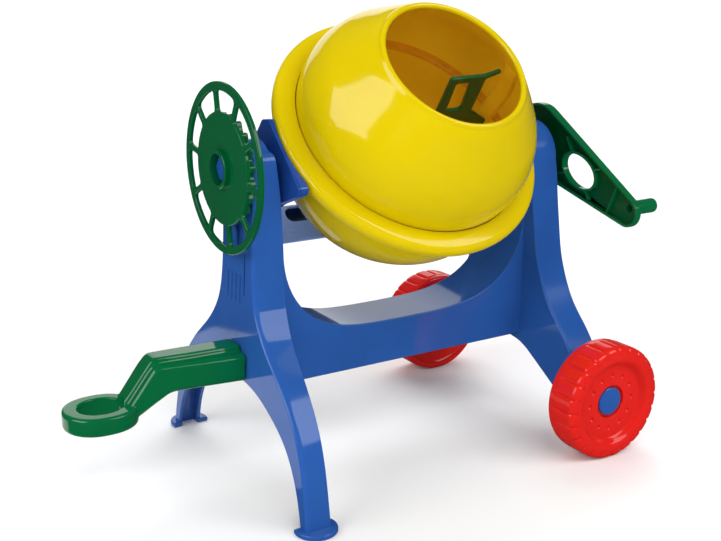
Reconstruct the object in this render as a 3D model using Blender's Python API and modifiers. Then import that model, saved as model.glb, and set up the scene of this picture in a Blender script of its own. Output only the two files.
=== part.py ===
"""Towable hand-cranked toy cement mixer, modelled as separate pieces.

Metres, +Z up.  +X runs along the tow direction (hitch eye at -X, road wheels
at +X), the drum's mouth faces -Y and up.  The origin is on the ground under
the middle of the object.
"""
import math

import bmesh
import bpy
from mathutils import Matrix, Vector

# ------------------------------------------------------------ dimensions ----
GAP = 0.0003                     # clearance between pieces that touch

# main axes
X_DRUM = 0.0535                  # drum axis and middle of the frame
Z_TILT = 0.2690                  # tilt axis, crank axis and handwheel axis
TILT_REST = math.radians(45.0)   # drum axis from vertical, towards -Y
HALF_SPAN = 0.1275               # drum axis to the inner edge of an end frame

# drum
MOUTH_R, MOUTH_A = 0.0632, 0.1185
BELT_R, BELT_A = 0.1232, 0.0245  # widest ring of the drum
SEAM_R = 0.1045                  # upper shell where it enters the belt ring
BOWL_A = -0.0955                 # underside of the bowl
WALL = 0.0028
DRUM_STEPS = 30

# gears
PINION_N, CROWN_N = 7, 42
PINION_R = 0.0180                # pitch radius; crown pitch plane is this high
TOOTH_ADD, TOOTH_DED = 0.0022, 0.0028
CROWN_IN, CROWN_OUT = 0.1056, 0.1152

# cradle
ARM_IN, ARM_OUT = 0.1240, 0.1268
BAR_TOP, BAR_BOTTOM, BAR_HALF = -0.1006, -0.1040, 0.0200
TRUNNION_R = 0.0125

# handwheel
HAND_R, HAND_FRONT, HAND_T = 0.0698, -0.1150, 0.0045
HAND_WINDOWS, HAND_COLLAR = 10, 0.0158
DETENTS = 20

# end frames
FOOT_X, FACE_LEAN = -0.1120, 0.0433   # outer face at the ground, lean per metre
RIGHT_X = 0.2112
SHEET = 0.0030
BEAM_HALF = 0.0300
PAD_X, PAD_Y, PAD_R, PAD_T = -0.0997, 0.1225, 0.0176, 0.0042
PAD_BACK = math.radians(16.0)         # the pad is a little more than half a disc
BEAM_BOTTOM, BEAM_VALLEY = 0.0860, 0.1250

# wheels
AXLE_X, WHEEL_R = 0.1927, 0.0524
WHEEL_IN, WHEEL_OUT = 0.1165, 0.1490
PIN_HEAD_R, PIN_R = 0.0128, 0.0075   # wheel pin
WHEEL_STEPS = 26

# crank
CRANK_X0, CRANK_X1, CRANK_TIP = 0.2125, 0.2245, 0.2512
CRANK_PIN_UP = 0.0035             # pin centre above the middle of the arm's end
CRANK_L, CRANK_HUB, CRANK_END = 0.1287, 0.0322, 0.0135
CRANK_ANGLE = math.radians(23.4)  # below horizontal, towards -Y
CRANK_HOLE, CRANK_HOLE_AT = 0.0190, 0.0615

# drawbar
EYE_X, EYE_LONG, EYE_WIDE, EYE_IN, EYE_Z0, EYE_Z1 = -0.2265, 0.0300, 0.0276, 0.0172, 0.0738, 0.0888

# slide along X that puts the origin under the middle of the whole object
CENTRE_X = (EYE_LONG - EYE_X - CRANK_TIP) / 2

# ---------------------------------------------------------------- set-up ----
for ob in list(bpy.data.objects):
    bpy.data.objects.remove(ob, do_unlink=True)

PARTS = bpy.data.collections.new("toy_cement_mixer")
TOOLS = bpy.data.collections.new("cutters")
bpy.context.scene.collection.children.link(PARTS)
bpy.context.scene.collection.children.link(TOOLS)

COLOURS = {
    "blue": ((0.035, 0.105, 0.40), 0.35, 0.0),
    "navy": ((0.010, 0.040, 0.22), 0.35, 0.0),
    "green": ((0.005, 0.115, 0.045), 0.35, 0.0),
    "yellow": ((0.86, 0.66, 0.005), 0.20, 0.0),
    "red": ((0.72, 0.02, 0.012), 0.35, 0.0),
    "steel": ((0.55, 0.56, 0.58), 0.30, 1.0),
    "white": ((0.80, 0.80, 0.78), 0.45, 0.0),
}


def dress(ob, colour):
    """Give an object a material of its own."""
    base, rough, metal = COLOURS[colour]
    mat = bpy.data.materials.new(ob.name)
    mat.use_nodes = True
    node = mat.node_tree.nodes["Principled BSDF"]
    node.inputs["Base Color"].default_value = (*base, 1.0)
    node.inputs["Roughness"].default_value = rough
    node.inputs["Metallic"].default_value = metal
    ob.data.materials.clear()
    ob.data.materials.append(mat)


def add(name, mesh, colour=None, where=None, parent=None):
    """New object; a colour makes it a part, no colour a cutter."""
    ob = bpy.data.objects.new(name, mesh)
    (PARTS if colour else TOOLS).objects.link(ob)
    if colour:
        dress(ob, colour)
    else:
        ob.hide_render = True
        ob.display_type = "WIRE"
    if parent is not None:
        ob.parent = parent
    if where is not None:
        ob.matrix_local = where
    return ob


def boolean(ob, tool, kind="DIFFERENCE"):
    mod = ob.modifiers.new(kind.lower(), "BOOLEAN")
    mod.operation = kind
    mod.object = tool
    mod.solver = "EXACT"


def smooth(ob, angle=35.0):
    ob.data.shade_smooth()
    ob.data.set_sharp_from_angle(angle=math.radians(angle))


def plate_mesh(name, loops, depth):
    """Closed outlines (outer first, then holes) thickened by depth, in XY."""
    curve = bpy.data.curves.new(name, "CURVE")
    curve.dimensions = "2D"
    curve.fill_mode = "BOTH"
    curve.extrude = depth / 2
    for loop in loops:
        spline = curve.splines.new("POLY")
        spline.points.add(len(loop) - 1)
        for point, (u, v) in zip(spline.points, loop):
            point.co = (u, v, 0.0, 1.0)
        spline.use_cyclic_u = True
    ob = bpy.data.objects.new(name, curve)
    bpy.context.scene.collection.objects.link(ob)
    graph = bpy.context.evaluated_depsgraph_get()
    mesh = bpy.data.meshes.new_from_object(ob.evaluated_get(graph))
    bpy.data.objects.remove(ob, do_unlink=True)
    bpy.data.curves.remove(curve)
    bm = bmesh.new()
    bm.from_mesh(mesh)
    bmesh.ops.remove_doubles(bm, verts=bm.verts, dist=1e-6)
    bmesh.ops.recalc_face_normals(bm, faces=bm.faces)
    bm.to_mesh(mesh)
    bm.free()
    mesh.materials.clear()
    mesh.name = name
    return mesh


# a plate drawn as (u, v) with its thickness along w, stood up in space
YZ = Matrix(((0, 0, 1, 0), (1, 0, 0, 0), (0, 1, 0, 0), (0, 0, 0, 1)))
XZ = Matrix(((1, 0, 0, 0), (0, 0, -1, 0), (0, 1, 0, 0), (0, 0, 0, 1)))


def plate_yz(name, loops, x0, x1):
    mesh = plate_mesh(name, loops, x1 - x0)
    mesh.transform(Matrix.Translation(((x0 + x1) / 2, 0, 0)) @ YZ)
    return mesh


def plate_xz(name, loops, y0, y1):
    mesh = plate_mesh(name, loops, y1 - y0)
    mesh.transform(Matrix.Translation((0, (y0 + y1) / 2, 0)) @ XZ)
    return mesh


def rod_mesh(name, radius, start, end, sides=20):
    """Cylinder between two points."""
    start, end = Vector(start), Vector(end)
    axis = end - start
    bm = bmesh.new()
    bmesh.ops.create_cone(bm, cap_ends=True, segments=sides, radius1=radius,
                          radius2=radius, depth=axis.length)
    turn = Vector((0, 0, 1)).rotation_difference(axis.normalized())
    bm.transform(Matrix.Translation((start + end) / 2) @ turn.to_matrix().to_4x4())
    mesh = bpy.data.meshes.new(name)
    bm.to_mesh(mesh)
    bm.free()
    return mesh


def box_mesh(name, low, high):
    low, high = Vector(low), Vector(high)
    size = high - low
    bm = bmesh.new()
    bmesh.ops.create_cube(bm, size=1.0, matrix=Matrix.Translation((low + high) / 2)
                          @ Matrix.Diagonal((*size, 1.0)))
    mesh = bpy.data.meshes.new(name)
    bm.to_mesh(mesh)
    bm.free()
    return mesh


def turned(name, profile, steps, colour, where, parent=None):
    """Closed (radius, height) profile turned about its own Z axis."""
    bm = bmesh.new()
    verts = [bm.verts.new((r, 0.0, h)) for r, h in profile]
    for i, vert in enumerate(verts):
        bm.edges.new((vert, verts[(i + 1) % len(verts)]))
    mesh = bpy.data.meshes.new(name)
    bm.to_mesh(mesh)
    bm.free()
    ob = add(name, mesh, colour, where, parent)
    mod = ob.modifiers.new("turn", "SCREW")
    mod.axis = "Z"
    mod.steps = steps
    mod.render_steps = steps
    mod.use_merge_vertices = True
    mod.merge_threshold = 0.00001
    mod.use_smooth_shade = True
    mod.use_normal_calculate = True
    return ob


def spline_through(points, per=3):
    """Catmull-Rom curve through the given points."""
    pts = [points[0]] + list(points) + [points[-1]]
    out = []
    for i in range(1, len(pts) - 2):
        p0, p1, p2, p3 = pts[i - 1], pts[i], pts[i + 1], pts[i + 2]
        for k in range(per):
            t = k / per
            out.append(tuple(0.5 * (2 * b + (c - a) * t
                                    + (2 * a - 5 * b + 4 * c - d) * t * t
                                    + (3 * b - a - 3 * c + d) * t ** 3)
                             for a, b, c, d in zip(p0, p1, p2, p3)))
    out.append(tuple(points[-1]))
    return out


def both_sides(half):
    """A half outline (y >= 0, top to bottom and back to the middle) mirrored."""
    left = [(-y, z) for y, z in reversed(half) if y > 1e-9]
    return list(half) + left


def inset(loop, by):
    """Outline moved inwards by a wall thickness."""
    n = len(loop)
    area = sum(loop[i][0] * loop[(i + 1) % n][1] - loop[(i + 1) % n][0] * loop[i][1]
               for i in range(n))
    sign = 1.0 if area > 0 else -1.0
    out = []
    for i in range(n):
        a, b, c = (Vector(loop[(i + k) % n]) for k in (-1, 0, 1))
        d1, d2 = (b - a).normalized(), (c - b).normalized()
        n1, n2 = Vector((-d1.y, d1.x)) * sign, Vector((-d2.y, d2.x)) * sign
        mid = n1 + n2
        scale = by / max(0.35, mid.length_squared / 2)
        out.append(tuple(b + mid / 2 * scale * 1.0))
    return out


def circle(radius, sides, centre=(0.0, 0.0), phase=0.0):
    return [(centre[0] + radius * math.cos(phase + 2 * math.pi * i / sides),
             centre[1] + radius * math.sin(phase + 2 * math.pi * i / sides))
            for i in range(sides)]


# --------------------------------------------------------- reference axes ---
def empty(name, where, parent=None):
    ob = bpy.data.objects.new(name, None)
    PARTS.objects.link(ob)
    ob.empty_display_size = 0.03
    if parent is not None:
        ob.parent = parent
    ob.matrix_local = where
    return ob


tilt_axis = empty("tilt_axis", Matrix.Translation((X_DRUM, 0, Z_TILT))
                  @ Matrix.Rotation(TILT_REST, 4, "X"))
# inside tilt_axis: x along the tilt axis, y across the drum, z along the drum

# -------------------------------------------------------------- end frames --
LEFT_OUTER = [(0.0290, 0.2600), (0.0285, 0.2300), (0.0280, 0.1950), (0.0305, 0.1690),
              (0.0365, 0.1500), (0.0515, 0.1310), (0.0665, 0.1180), (0.0835, 0.1040),
              (0.1025, 0.0835), (0.1160, 0.0590), (0.1242, 0.0330), (0.1300, 0.0000)]
LEFT_ARCH = [(0.1205, 0.0000), (0.1150, 0.0197), (0.1095, 0.0337), (0.1020, 0.0468), (0.0932, 0.0578),
             (0.0824, 0.0672), (0.0692, 0.0751), (0.0540, 0.0825), (0.0381, 0.0882), (0.0000, 0.0925)]
RIGHT_OUTER = [(0.0330, 0.2535), (0.0360, 0.2390), (0.0390, 0.2150), (0.0420, 0.1970),
               (0.0450, 0.1780), (0.0495, 0.1590), (0.0610, 0.1330), (0.0730, 0.1170),
               (0.0870, 0.1030), (0.0980, 0.0890), (0.1070, 0.0700), (0.1125, 0.0540)]
RIGHT_ARCH = [(0.0940, 0.0385), (0.0810, 0.0472), (0.0670, 0.0563), (0.0520, 0.0656),
              (0.0400, 0.0730), (0.0300, 0.0775), (0.0180, 0.0800), (0.0000, 0.0810)]
# inner edge of the left end frame, (height, x): the legs are shallower than the column
LEFT_INNER = [(0.0000, -0.0900), (0.0340, -0.0898), (0.0630, -0.0884), (0.0876, -0.0867),
              (0.1080, -0.0845), (0.1500, -0.0765), (0.1800, X_DRUM - HALF_SPAN), (0.4000, X_DRUM - HALF_SPAN)]


def round_top(radius, centre_z, steps=5):
    return [(radius * math.sin(math.pi / 2 * i / steps),
             centre_z + radius * math.cos(math.pi / 2 * i / steps))
            for i in range(steps)]


# a dome over the bearing stands on the column's squarer shoulders
left_rim = round_top(0.0215, 0.2700) + [(0.0215, 0.2700), (0.0258, 0.2694), (0.0282, 0.2672)] \
    + spline_through(LEFT_OUTER, 2)
left_outline = both_sides(left_rim + spline_through(LEFT_ARCH, 2))
# the right leg closes round its axle boss
right_rim = round_top(0.0330, 0.2535) + spline_through(RIGHT_OUTER, 2) + [(0.1115, 0.0430), (0.1060, 0.0380)]
right_outline = both_sides(right_rim + spline_through(RIGHT_ARCH, 2))


def core(rim, floor):
    """Hollow behind the outer strip, open on the arch side, down to floor."""
    inner = inset(both_sides(rim + [(0.0, rim[-1][1])]), SHEET)
    half = [(y, z) for y, z in inner[:len(rim)] if z > floor]
    half = [(max(0.0, half[0][0]), half[0][1])] + half[1:]
    return both_sides(half + [(half[-1][0], floor)])


def left_outer_x(z):
    return FOOT_X + FACE_LEAN * z


def left_inner_x(z):
    for (z0, x0), (z1, x1) in zip(LEFT_INNER, LEFT_INNER[1:]):
        if z <= z1:
            return x0 + (x1 - x0) * max(0.0, z - z0) / (z1 - z0)
    return LEFT_INNER[-1][1]


def lean_left(mesh, wall):
    """Stand a 0..1 deep slab between the leaning face and the inner edge."""
    for vert in mesh.vertices:
        outer, inner = left_outer_x(vert.co.z) + wall, left_inner_x(vert.co.z) - wall
        vert.co.x = outer + vert.co.x * (inner - outer)


def round_face(mesh, rim, width):
    """Round the edge between the end face (x lowest) and the outer strip."""
    marks = {(round(abs(y), 5), round(z, 5)) for y, z in rim}
    bm = bmesh.new()
    bm.from_mesh(mesh)
    edges = []
    for edge in bm.edges:
        ends = [vert.co for vert in edge.verts]
        on_face = all(abs(co.x - left_outer_x(co.z)) < 1e-5 for co in ends)
        on_rim = all((round(abs(co.y), 5), round(co.z, 5)) in marks for co in ends)
        if on_face and on_rim and any(f.normal.x > -0.9 for f in edge.link_faces):
            edges.append(edge)
    bmesh.ops.bevel(bm, geom=edges, offset=width, segments=2, profile=0.5, affect="EDGES")
    bm.to_mesh(mesh)
    bm.free()


slab = plate_yz("left_end_frame", [left_outline], 0.0, 1.0)
lean_left(slab, 0.0)
round_face(slab, left_rim, 0.0050)
left_end_frame = add("left_end_frame", slab, "blue")
for side in (-1, 1):
    # pad that reaches outwards round the foot
    turns = [-PAD_BACK + (math.pi + 2 * PAD_BACK) * i / 14 for i in range(15)]
    pad = [(PAD_X + PAD_R * math.cos(q), side * (PAD_Y + PAD_R * math.sin(q))) for q in turns]
    pad_mesh = plate_mesh("foot_pad", [pad], PAD_T)
    pad_mesh.transform(Matrix.Translation((0, 0, PAD_T / 2)))
    boolean(left_end_frame, add("foot_pad", pad_mesh), "UNION")
hollow = plate_yz("left_hollow", [core(left_rim, -0.0080)], 0.0, 1.0)
lean_left(hollow, SHEET)
boolean(left_end_frame, add("left_hollow", hollow))

LEFT_FACE_TOP = left_outer_x(Z_TILT)
# bearing for the trunnion, bosses for the beam's screws
boolean(left_end_frame, add("left_bearing_boss", rod_mesh(
    "left_bearing_boss", 0.0180, (LEFT_FACE_TOP + 0.0015, 0, Z_TILT), (-0.0755, 0, Z_TILT), 24)), "UNION")
boolean(left_end_frame, add("left_bearing_bore", rod_mesh(
    "left_bearing_bore", TRUNNION_R + GAP, (LEFT_FACE_TOP - 0.02, 0, Z_TILT), (-0.05, 0, Z_TILT), 24)))
SCREW_Y, SCREW_Z = 0.0170, 0.1430
for side in (-1, 1):
    boolean(left_end_frame, add("left_screw_boss", rod_mesh(
        "left_screw_boss", 0.0048, (left_outer_x(SCREW_Z) + 0.0020, side * SCREW_Y, SCREW_Z),
        (left_inner_x(SCREW_Z) - 0.0015, side * SCREW_Y, SCREW_Z), 12)), "UNION")
    boolean(left_end_frame, add("left_screw_hole", rod_mesh(
        "left_screw_hole", 0.0018 + GAP, (-0.0910, side * SCREW_Y, SCREW_Z),
        (-0.0600, side * SCREW_Y, SCREW_Z), 10)))
# vent grooves in the face, and the socket for the drawbar's tongue
for k in range(5):
    boolean(left_end_frame, add("vent", box_mesh(
        "vent", (-0.1150, -0.0157 + 0.0075 * k, 0.1570 if k else 0.1660),
        (left_outer_x(0.170) + 0.0012, -0.0143 + 0.0075 * k, 0.1810 if k else 0.2000))))
TONGUE_Y, TONGUE_Z0, TONGUE_Z1 = 0.0110, 0.1010, 0.1170
boolean(left_end_frame, add("drawbar_socket", box_mesh(
    "drawbar_socket", (-0.1300, -TONGUE_Y - GAP, TONGUE_Z0 - GAP),
    (-0.0950, TONGUE_Y + GAP, TONGUE_Z1 + GAP))))

RIGHT_IN = X_DRUM + HALF_SPAN
slab = plate_yz("right_end_frame", [right_outline], RIGHT_IN, RIGHT_X)
right_end_frame = add("right_end_frame", slab, "blue")
boolean(right_end_frame, add("right_hollow", plate_yz(
    "right_hollow", [core(right_rim, 0.0420)], RIGHT_IN + SHEET, RIGHT_X - SHEET)))
boolean(right_end_frame, add("right_bearing_boss", rod_mesh(
    "right_bearing_boss", 0.0180, (RIGHT_X - 0.0015, 0, Z_TILT), (RIGHT_IN + 0.0015, 0, Z_TILT), 24)), "UNION")
boolean(right_end_frame, add("right_bearing_bore", rod_mesh(
    "right_bearing_bore", TRUNNION_R + GAP, (0.1500, 0, Z_TILT), (RIGHT_X + 0.02, 0, Z_TILT), 24)))
for side in (-1, 1):
    boolean(right_end_frame, add("right_screw_boss", rod_mesh(
        "right_screw_boss", 0.0048, (RIGHT_X - 0.0020, side * SCREW_Y, SCREW_Z),
        (RIGHT_IN + 0.0015, side * SCREW_Y, SCREW_Z), 12)), "UNION")
    boolean(right_end_frame, add("right_screw_hole", rod_mesh(
        "right_screw_hole", 0.0018 + GAP, (0.1600, side * SCREW_Y, SCREW_Z),
        (0.1985, side * SCREW_Y, SCREW_Z), 10)))
    boolean(right_end_frame, add("axle_boss", rod_mesh(
        "axle_boss", 0.0115, (AXLE_X, side * 0.0905, WHEEL_R), (AXLE_X, side * 0.1155, WHEEL_R), 20)), "UNION")
    boolean(right_end_frame, add("axle_bore", rod_mesh(
        "axle_bore", PIN_R + GAP, (AXLE_X, side * 0.0940, WHEEL_R), (AXLE_X, side * 0.1600, WHEEL_R), 16)))

# -------------------------------------------------------------- cross beam --
# the beam's top sweeps up into the columns, below the cradle's arms at rest
RISE_LEFT, RISE_RIGHT = 0.0740, 0.0840


def saddle(rise, steps=12):
    """Half of the beam's top: flat in the middle, upright at the column."""
    turns = [math.radians(80.0) * i / steps for i in range(steps + 1)]
    return [(HALF_SPAN * math.sqrt(math.sin(q)), rise * (1 - math.cos(q))) for q in turns]


top_left, top_right = saddle(RISE_LEFT), saddle(RISE_RIGHT)
TOP_L, TOP_R = BEAM_VALLEY + top_left[-1][1], BEAM_VALLEY + top_right[-1][1]
END_R = X_DRUM + HALF_SPAN - GAP
beam_outline = [(X_DRUM + u, BEAM_VALLEY + h) for u, h in top_right] \
    + [(END_R, TOP_R), (END_R, BEAM_BOTTOM)] \
    + [(left_inner_x(z) + GAP, z) for z in (BEAM_BOTTOM, 0.1080, 0.1500, 0.1800, TOP_L)] \
    + [(X_DRUM - u, BEAM_VALLEY + h) for u, h in reversed(top_left) if u > 1e-9]
cross_beam = add("cross_beam", plate_xz("cross_beam", [beam_outline], -BEAM_HALF, BEAM_HALF), "blue")
HOLLOW_TOP = [(0.1190, 0.0320), (0.1150, 0.0280), (0.1100, 0.0205), (0.1030, 0.0140), (0.0930, 0.0080),
              (0.0760, 0.0030), (0.0400, -0.0012)]
beam_hollow = [(END_R - SHEET, 0.0600), (END_R - SHEET, 0.1570)] \
    + [(X_DRUM + u, BEAM_VALLEY + h) for u, h in HOLLOW_TOP] + [(X_DRUM, BEAM_VALLEY - 0.0028)] \
    + [(X_DRUM - u, BEAM_VALLEY + h) for u, h in reversed(HOLLOW_TOP)] \
    + [(left_inner_x(z) + GAP + SHEET, z) for z in (0.1570, 0.1500, 0.1080, 0.0600)]
boolean(cross_beam, add("beam_hollow", plate_xz(
    "beam_hollow", [beam_hollow], -BEAM_HALF + 0.0025, BEAM_HALF - 0.0025)))
for end in (-1, 1):
    for side in (-1, 1):
        boolean(cross_beam, add("beam_screw_hole", rod_mesh(
            "beam_screw_hole", 0.0018 + GAP, (X_DRUM + end * 0.1150, side * SCREW_Y, SCREW_Z),
            (X_DRUM + end * 0.1450, side * SCREW_Y, SCREW_Z), 10)))

for end, label, seat in ((-1, "left", left_inner_x(SCREW_Z) + SHEET + 0.0010), (1, "right", END_R - SHEET - GAP)):
    for side, place in ((-1, "front"), (1, "rear")):
        screw = add("frame_screw_%s_%s" % (label, place), rod_mesh(
            "frame_screw", 0.0036, (seat - end * 0.0022, side * SCREW_Y, SCREW_Z),
            (seat, side * SCREW_Y, SCREW_Z), 12), "steel")
        boolean(screw, add("shank", rod_mesh(
            "shank", 0.0018, (seat - end * 0.0010, side * SCREW_Y, SCREW_Z),
            (seat + end * 0.0150, side * SCREW_Y, SCREW_Z), 10)), "UNION")

# ----------------------------------------------------------------- drawbar --
def drawbar_section(x, z0, z1, half, spine):
    """Eight-sided bar section with a narrower raised spine on top."""
    shoulder = z1 - 0.0055
    return [(x, -half * 0.84, z0), (x, half * 0.84, z0), (x, half, z0 + 0.004),
            (x, half, shoulder - 0.003), (x, half * 0.80, shoulder), (x, spine, shoulder + 0.0015),
            (x, spine * 0.85, z1), (x, -spine * 0.85, z1), (x, -spine, shoulder + 0.0015),
            (x, -half * 0.80, shoulder), (x, -half, shoulder - 0.003), (x, -half, z0 + 0.004)]


# the frame end lies flat against the leaning face
stations = [[(left_outer_x(z) - GAP, y, z)
             for _, y, z in drawbar_section(0.0, 0.0935, 0.1215, 0.0225, 0.0105)],
            drawbar_section(-0.1450, 0.0945, 0.1222, 0.0200, 0.0100),
            drawbar_section(-0.1700, 0.0945, 0.1228, 0.0175, 0.0095),
            drawbar_section(-0.1820, 0.0890, 0.1212, 0.0168, 0.0090),
            drawbar_section(-0.1920, 0.0800, 0.1120, 0.0164, 0.0085),
            drawbar_section(-0.2010, 0.0748, 0.0985, 0.0160, 0.0080),
            drawbar_section(-0.2075, 0.0742, 0.0895, 0.0160, 0.0080)]
bm = bmesh.new()
rings = [[bm.verts.new(p) for p in ring] for ring in stations]
for a, b in zip(rings, rings[1:]):
    for i in range(len(a)):
        j = (i + 1) % len(a)
        bm.faces.new((a[i], a[j], b[j], b[i]))
bm.faces.new(rings[0])
bm.faces.new(list(reversed(rings[-1])))
bmesh.ops.recalc_face_normals(bm, faces=bm.faces)
mesh = bpy.data.meshes.new("drawbar")
bm.to_mesh(mesh)
bm.free()
drawbar = add("drawbar", mesh, "green")
eye = plate_mesh("eye", [[(EYE_X + EYE_LONG * c, EYE_WIDE * s) for c, s in circle(1.0, 36)]], EYE_Z1 - EYE_Z0)
eye.transform(Matrix.Translation((0, 0, (EYE_Z0 + EYE_Z1) / 2)))
boolean(drawbar, add("eye", eye), "UNION")
boolean(drawbar, add("tongue", box_mesh(
    "tongue", (-0.1200, -TONGUE_Y, TONGUE_Z0), (-0.0925, TONGUE_Y, TONGUE_Z1))), "UNION")
boolean(drawbar, add("eye_hole", rod_mesh("eye_hole", EYE_IN, (EYE_X, 0, 0.03), (EYE_X, 0, 0.14), 28)))
PIN_X = -0.1010
boolean(drawbar, add("pin_hole", rod_mesh(
    "pin_hole", 0.0025 + GAP, (PIN_X, -0.05, 0.1090), (PIN_X, 0.05, 0.1090), 12)))
drawbar_pin = add("drawbar_pin", rod_mesh(
    "drawbar_pin", 0.0025, (PIN_X, -0.0180, 0.1090), (PIN_X, 0.0180, 0.1090), 12), "steel")

# ------------------------------------------------------------------ cradle --
TILT = tilt_axis
ARM_LEFT = [(-0.0470, 0.0290), (0.0240, 0.0290), (0.0320, 0.0190), (0.0300, -0.0050),
            (0.0220, -0.0400), (0.0200, BAR_BOTTOM), (-0.0200, BAR_BOTTOM),
            (-0.0240, -0.0400), (-0.0330, -0.0110), (-0.0480, 0.0220)]
arm = plate_yz("cradle", [ARM_LEFT], -ARM_OUT, -ARM_IN)
cradle = add("cradle", arm, "navy", Matrix.Identity(4), TILT)
# the right arm has no lug at the top
ARM_RIGHT = [(-0.0250, 0.0250), (0.0240, 0.0290)] + ARM_LEFT[2:8] + [(-0.0300, -0.0110)]
boolean(cradle, add("right_arm", plate_yz("right_arm", [ARM_RIGHT], ARM_IN, ARM_OUT),
                    None, Matrix.Identity(4), TILT), "UNION")
boolean(cradle, add("cross_bar", box_mesh(
    "cross_bar", (-ARM_OUT + 0.0008, -BAR_HALF + 0.0008, BAR_BOTTOM + 0.0005),
    (ARM_OUT - 0.0008, BAR_HALF - 0.0008, BAR_TOP)), None, Matrix.Identity(4), TILT), "UNION")
# the bar is a box section under two slots, open below the nut
boolean(cradle, add("bar_box", box_mesh(
    "bar_box", (-0.0790, -0.0188, BAR_BOTTOM - 0.0110), (0.0790, 0.0188, BAR_BOTTOM + 0.0015)),
    None, Matrix.Identity(4), TILT), "UNION")
boolean(cradle, add("bar_core", box_mesh(
    "bar_core", (-0.0768, -0.0166, BAR_BOTTOM - 0.0088), (0.0768, 0.0166, BAR_BOTTOM)),
    None, Matrix.Identity(4), TILT))
boolean(cradle, add("nut_access", rod_mesh(
    "nut_access", 0.0100, (0, 0, -0.1300), (0, 0, -0.1100), 20), None, Matrix.Identity(4), TILT))
boolean(cradle, add("left_trunnion", rod_mesh(
    "left_trunnion", TRUNNION_R, (HAND_FRONT + 0.0005 - X_DRUM, 0, 0), (-ARM_IN - 0.001, 0, 0), 24),
    None, Matrix.Identity(4), TILT), "UNION")
boolean(cradle, add("right_trunnion", rod_mesh(
    "right_trunnion", TRUNNION_R, (ARM_IN + 0.001, 0, 0), (RIGHT_X + 0.0008 - X_DRUM, 0, 0), 24),
    None, Matrix.Identity(4), TILT), "UNION")
SHAFT_R = 0.0060
boolean(cradle, add("shaft_bore", rod_mesh(
    "shaft_bore", SHAFT_R + GAP, (0.10, 0, 0), (0.20, 0, 0), 20), None, Matrix.Identity(4), TILT))
boolean(cradle, add("spindle_bore", rod_mesh(
    "spindle_bore", 0.0042 + GAP, (0, 0, -0.13), (0, 0, -0.08), 16), None, Matrix.Identity(4), TILT))
for side in (-1, 1):
    boolean(cradle, add("bar_slot", box_mesh(
        "bar_slot", (side * 0.0445 - 0.0242, 0.0010, -0.1080), (side * 0.0445 + 0.0242, 0.0160, -0.08)),
        None, Matrix.Identity(4), TILT))

# spindle, thrust washer and nut that carry the drum on the cross bar
spindle = add("drum_spindle", rod_mesh("drum_spindle", 0.0085, (0, 0, -0.0924), (0, 0, -0.0890), 20),
              "steel", Matrix.Identity(4), TILT)
boolean(spindle, add("spindle_shank", rod_mesh(
    "spindle_shank", 0.0042, (0, 0, -0.1120), (0, 0, -0.0900), 16), None, Matrix.Identity(4), TILT), "UNION")
washer_mesh = plate_mesh("thrust_washer", [circle(0.0130, 24), circle(0.0042 + GAP, 16)], 0.0045)
washer_mesh.transform(Matrix.Translation((0, 0, (BOWL_A + BAR_TOP) / 2)))
thrust_washer = add("thrust_washer", washer_mesh, "white", Matrix.Identity(4), TILT)
nut_mesh = plate_mesh("spindle_nut", [circle(0.0080, 6), circle(0.0042 + GAP, 16)], 0.0055)
nut_mesh.transform(Matrix.Translation((0, 0, BAR_BOTTOM - GAP - 0.00275)))
spindle_nut = add("spindle_nut", nut_mesh, "steel", Matrix.Identity(4), TILT)

# --------------------------------------------------------------- handwheel --
def window(index, inner, outer, bar):
    """One round-cornered opening between the hub disc and the rim."""
    mid = 2 * math.pi * (index + 0.5) / HAND_WINDOWS
    half = math.pi / HAND_WINDOWS
    pts = []
    for r, s in ((inner, 1), (outer, -1)):
        span = half - bar / 2 / r
        for f, pull in ((-1.0, 1), (-0.72, 0), (0.72, 0), (1.0, 1)):
            rr = r + s * 0.0022 * pull
            ang = mid + span * f * (1 if r == inner else -1)
            pts.append((rr * math.cos(ang), rr * math.sin(ang)))
    return pts


FRONT = HAND_FRONT - X_DRUM
disc = plate_mesh("handwheel", [circle(HAND_R, 50)]
                  + [window(i, 0.66 * HAND_R, 0.90 * HAND_R, 0.0048) for i in range(HAND_WINDOWS)], HAND_T)
disc.transform(Matrix.Translation((FRONT + HAND_T / 2, 0, 0)) @ YZ)
handwheel = add("handwheel", disc, "green", Matrix.Identity(4), TILT)
scallop = [((0.0430 + 0.0022 * math.cos(DETENTS * a)) * math.cos(a),
            (0.0430 + 0.0022 * math.cos(DETENTS * a)) * math.sin(a))
           for a in (2 * math.pi * i / (DETENTS * 3) for i in range(DETENTS * 3))]
ring = plate_mesh("detent_ring", [scallop, circle(0.0380, 40)], 0.0050)
ring.transform(Matrix.Translation((FRONT + HAND_T + 0.0020, 0, 0)) @ YZ)
boolean(handwheel, add("detent_ring", ring, None, Matrix.Identity(4), TILT), "UNION")
boolean(handwheel, add("hand_boss", rod_mesh(
    "hand_boss", 0.0170, (FRONT + HAND_T - 0.001, 0, 0), (LEFT_FACE_TOP - X_DRUM - 0.0012, 0, 0), 24),
    None, Matrix.Identity(4), TILT), "UNION")
boolean(handwheel, add("hand_collar", rod_mesh(
    "hand_collar", HAND_COLLAR, (FRONT - 0.0042, 0, 0), (FRONT + 0.001, 0, 0), 28),
    None, Matrix.Identity(4), TILT), "UNION")
boolean(handwheel, add("hand_bore", rod_mesh(
    "hand_bore", TRUNNION_R + GAP, (FRONT - 0.02, 0, 0), (FRONT + 0.04, 0, 0), 24),
    None, Matrix.Identity(4), TILT))

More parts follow.
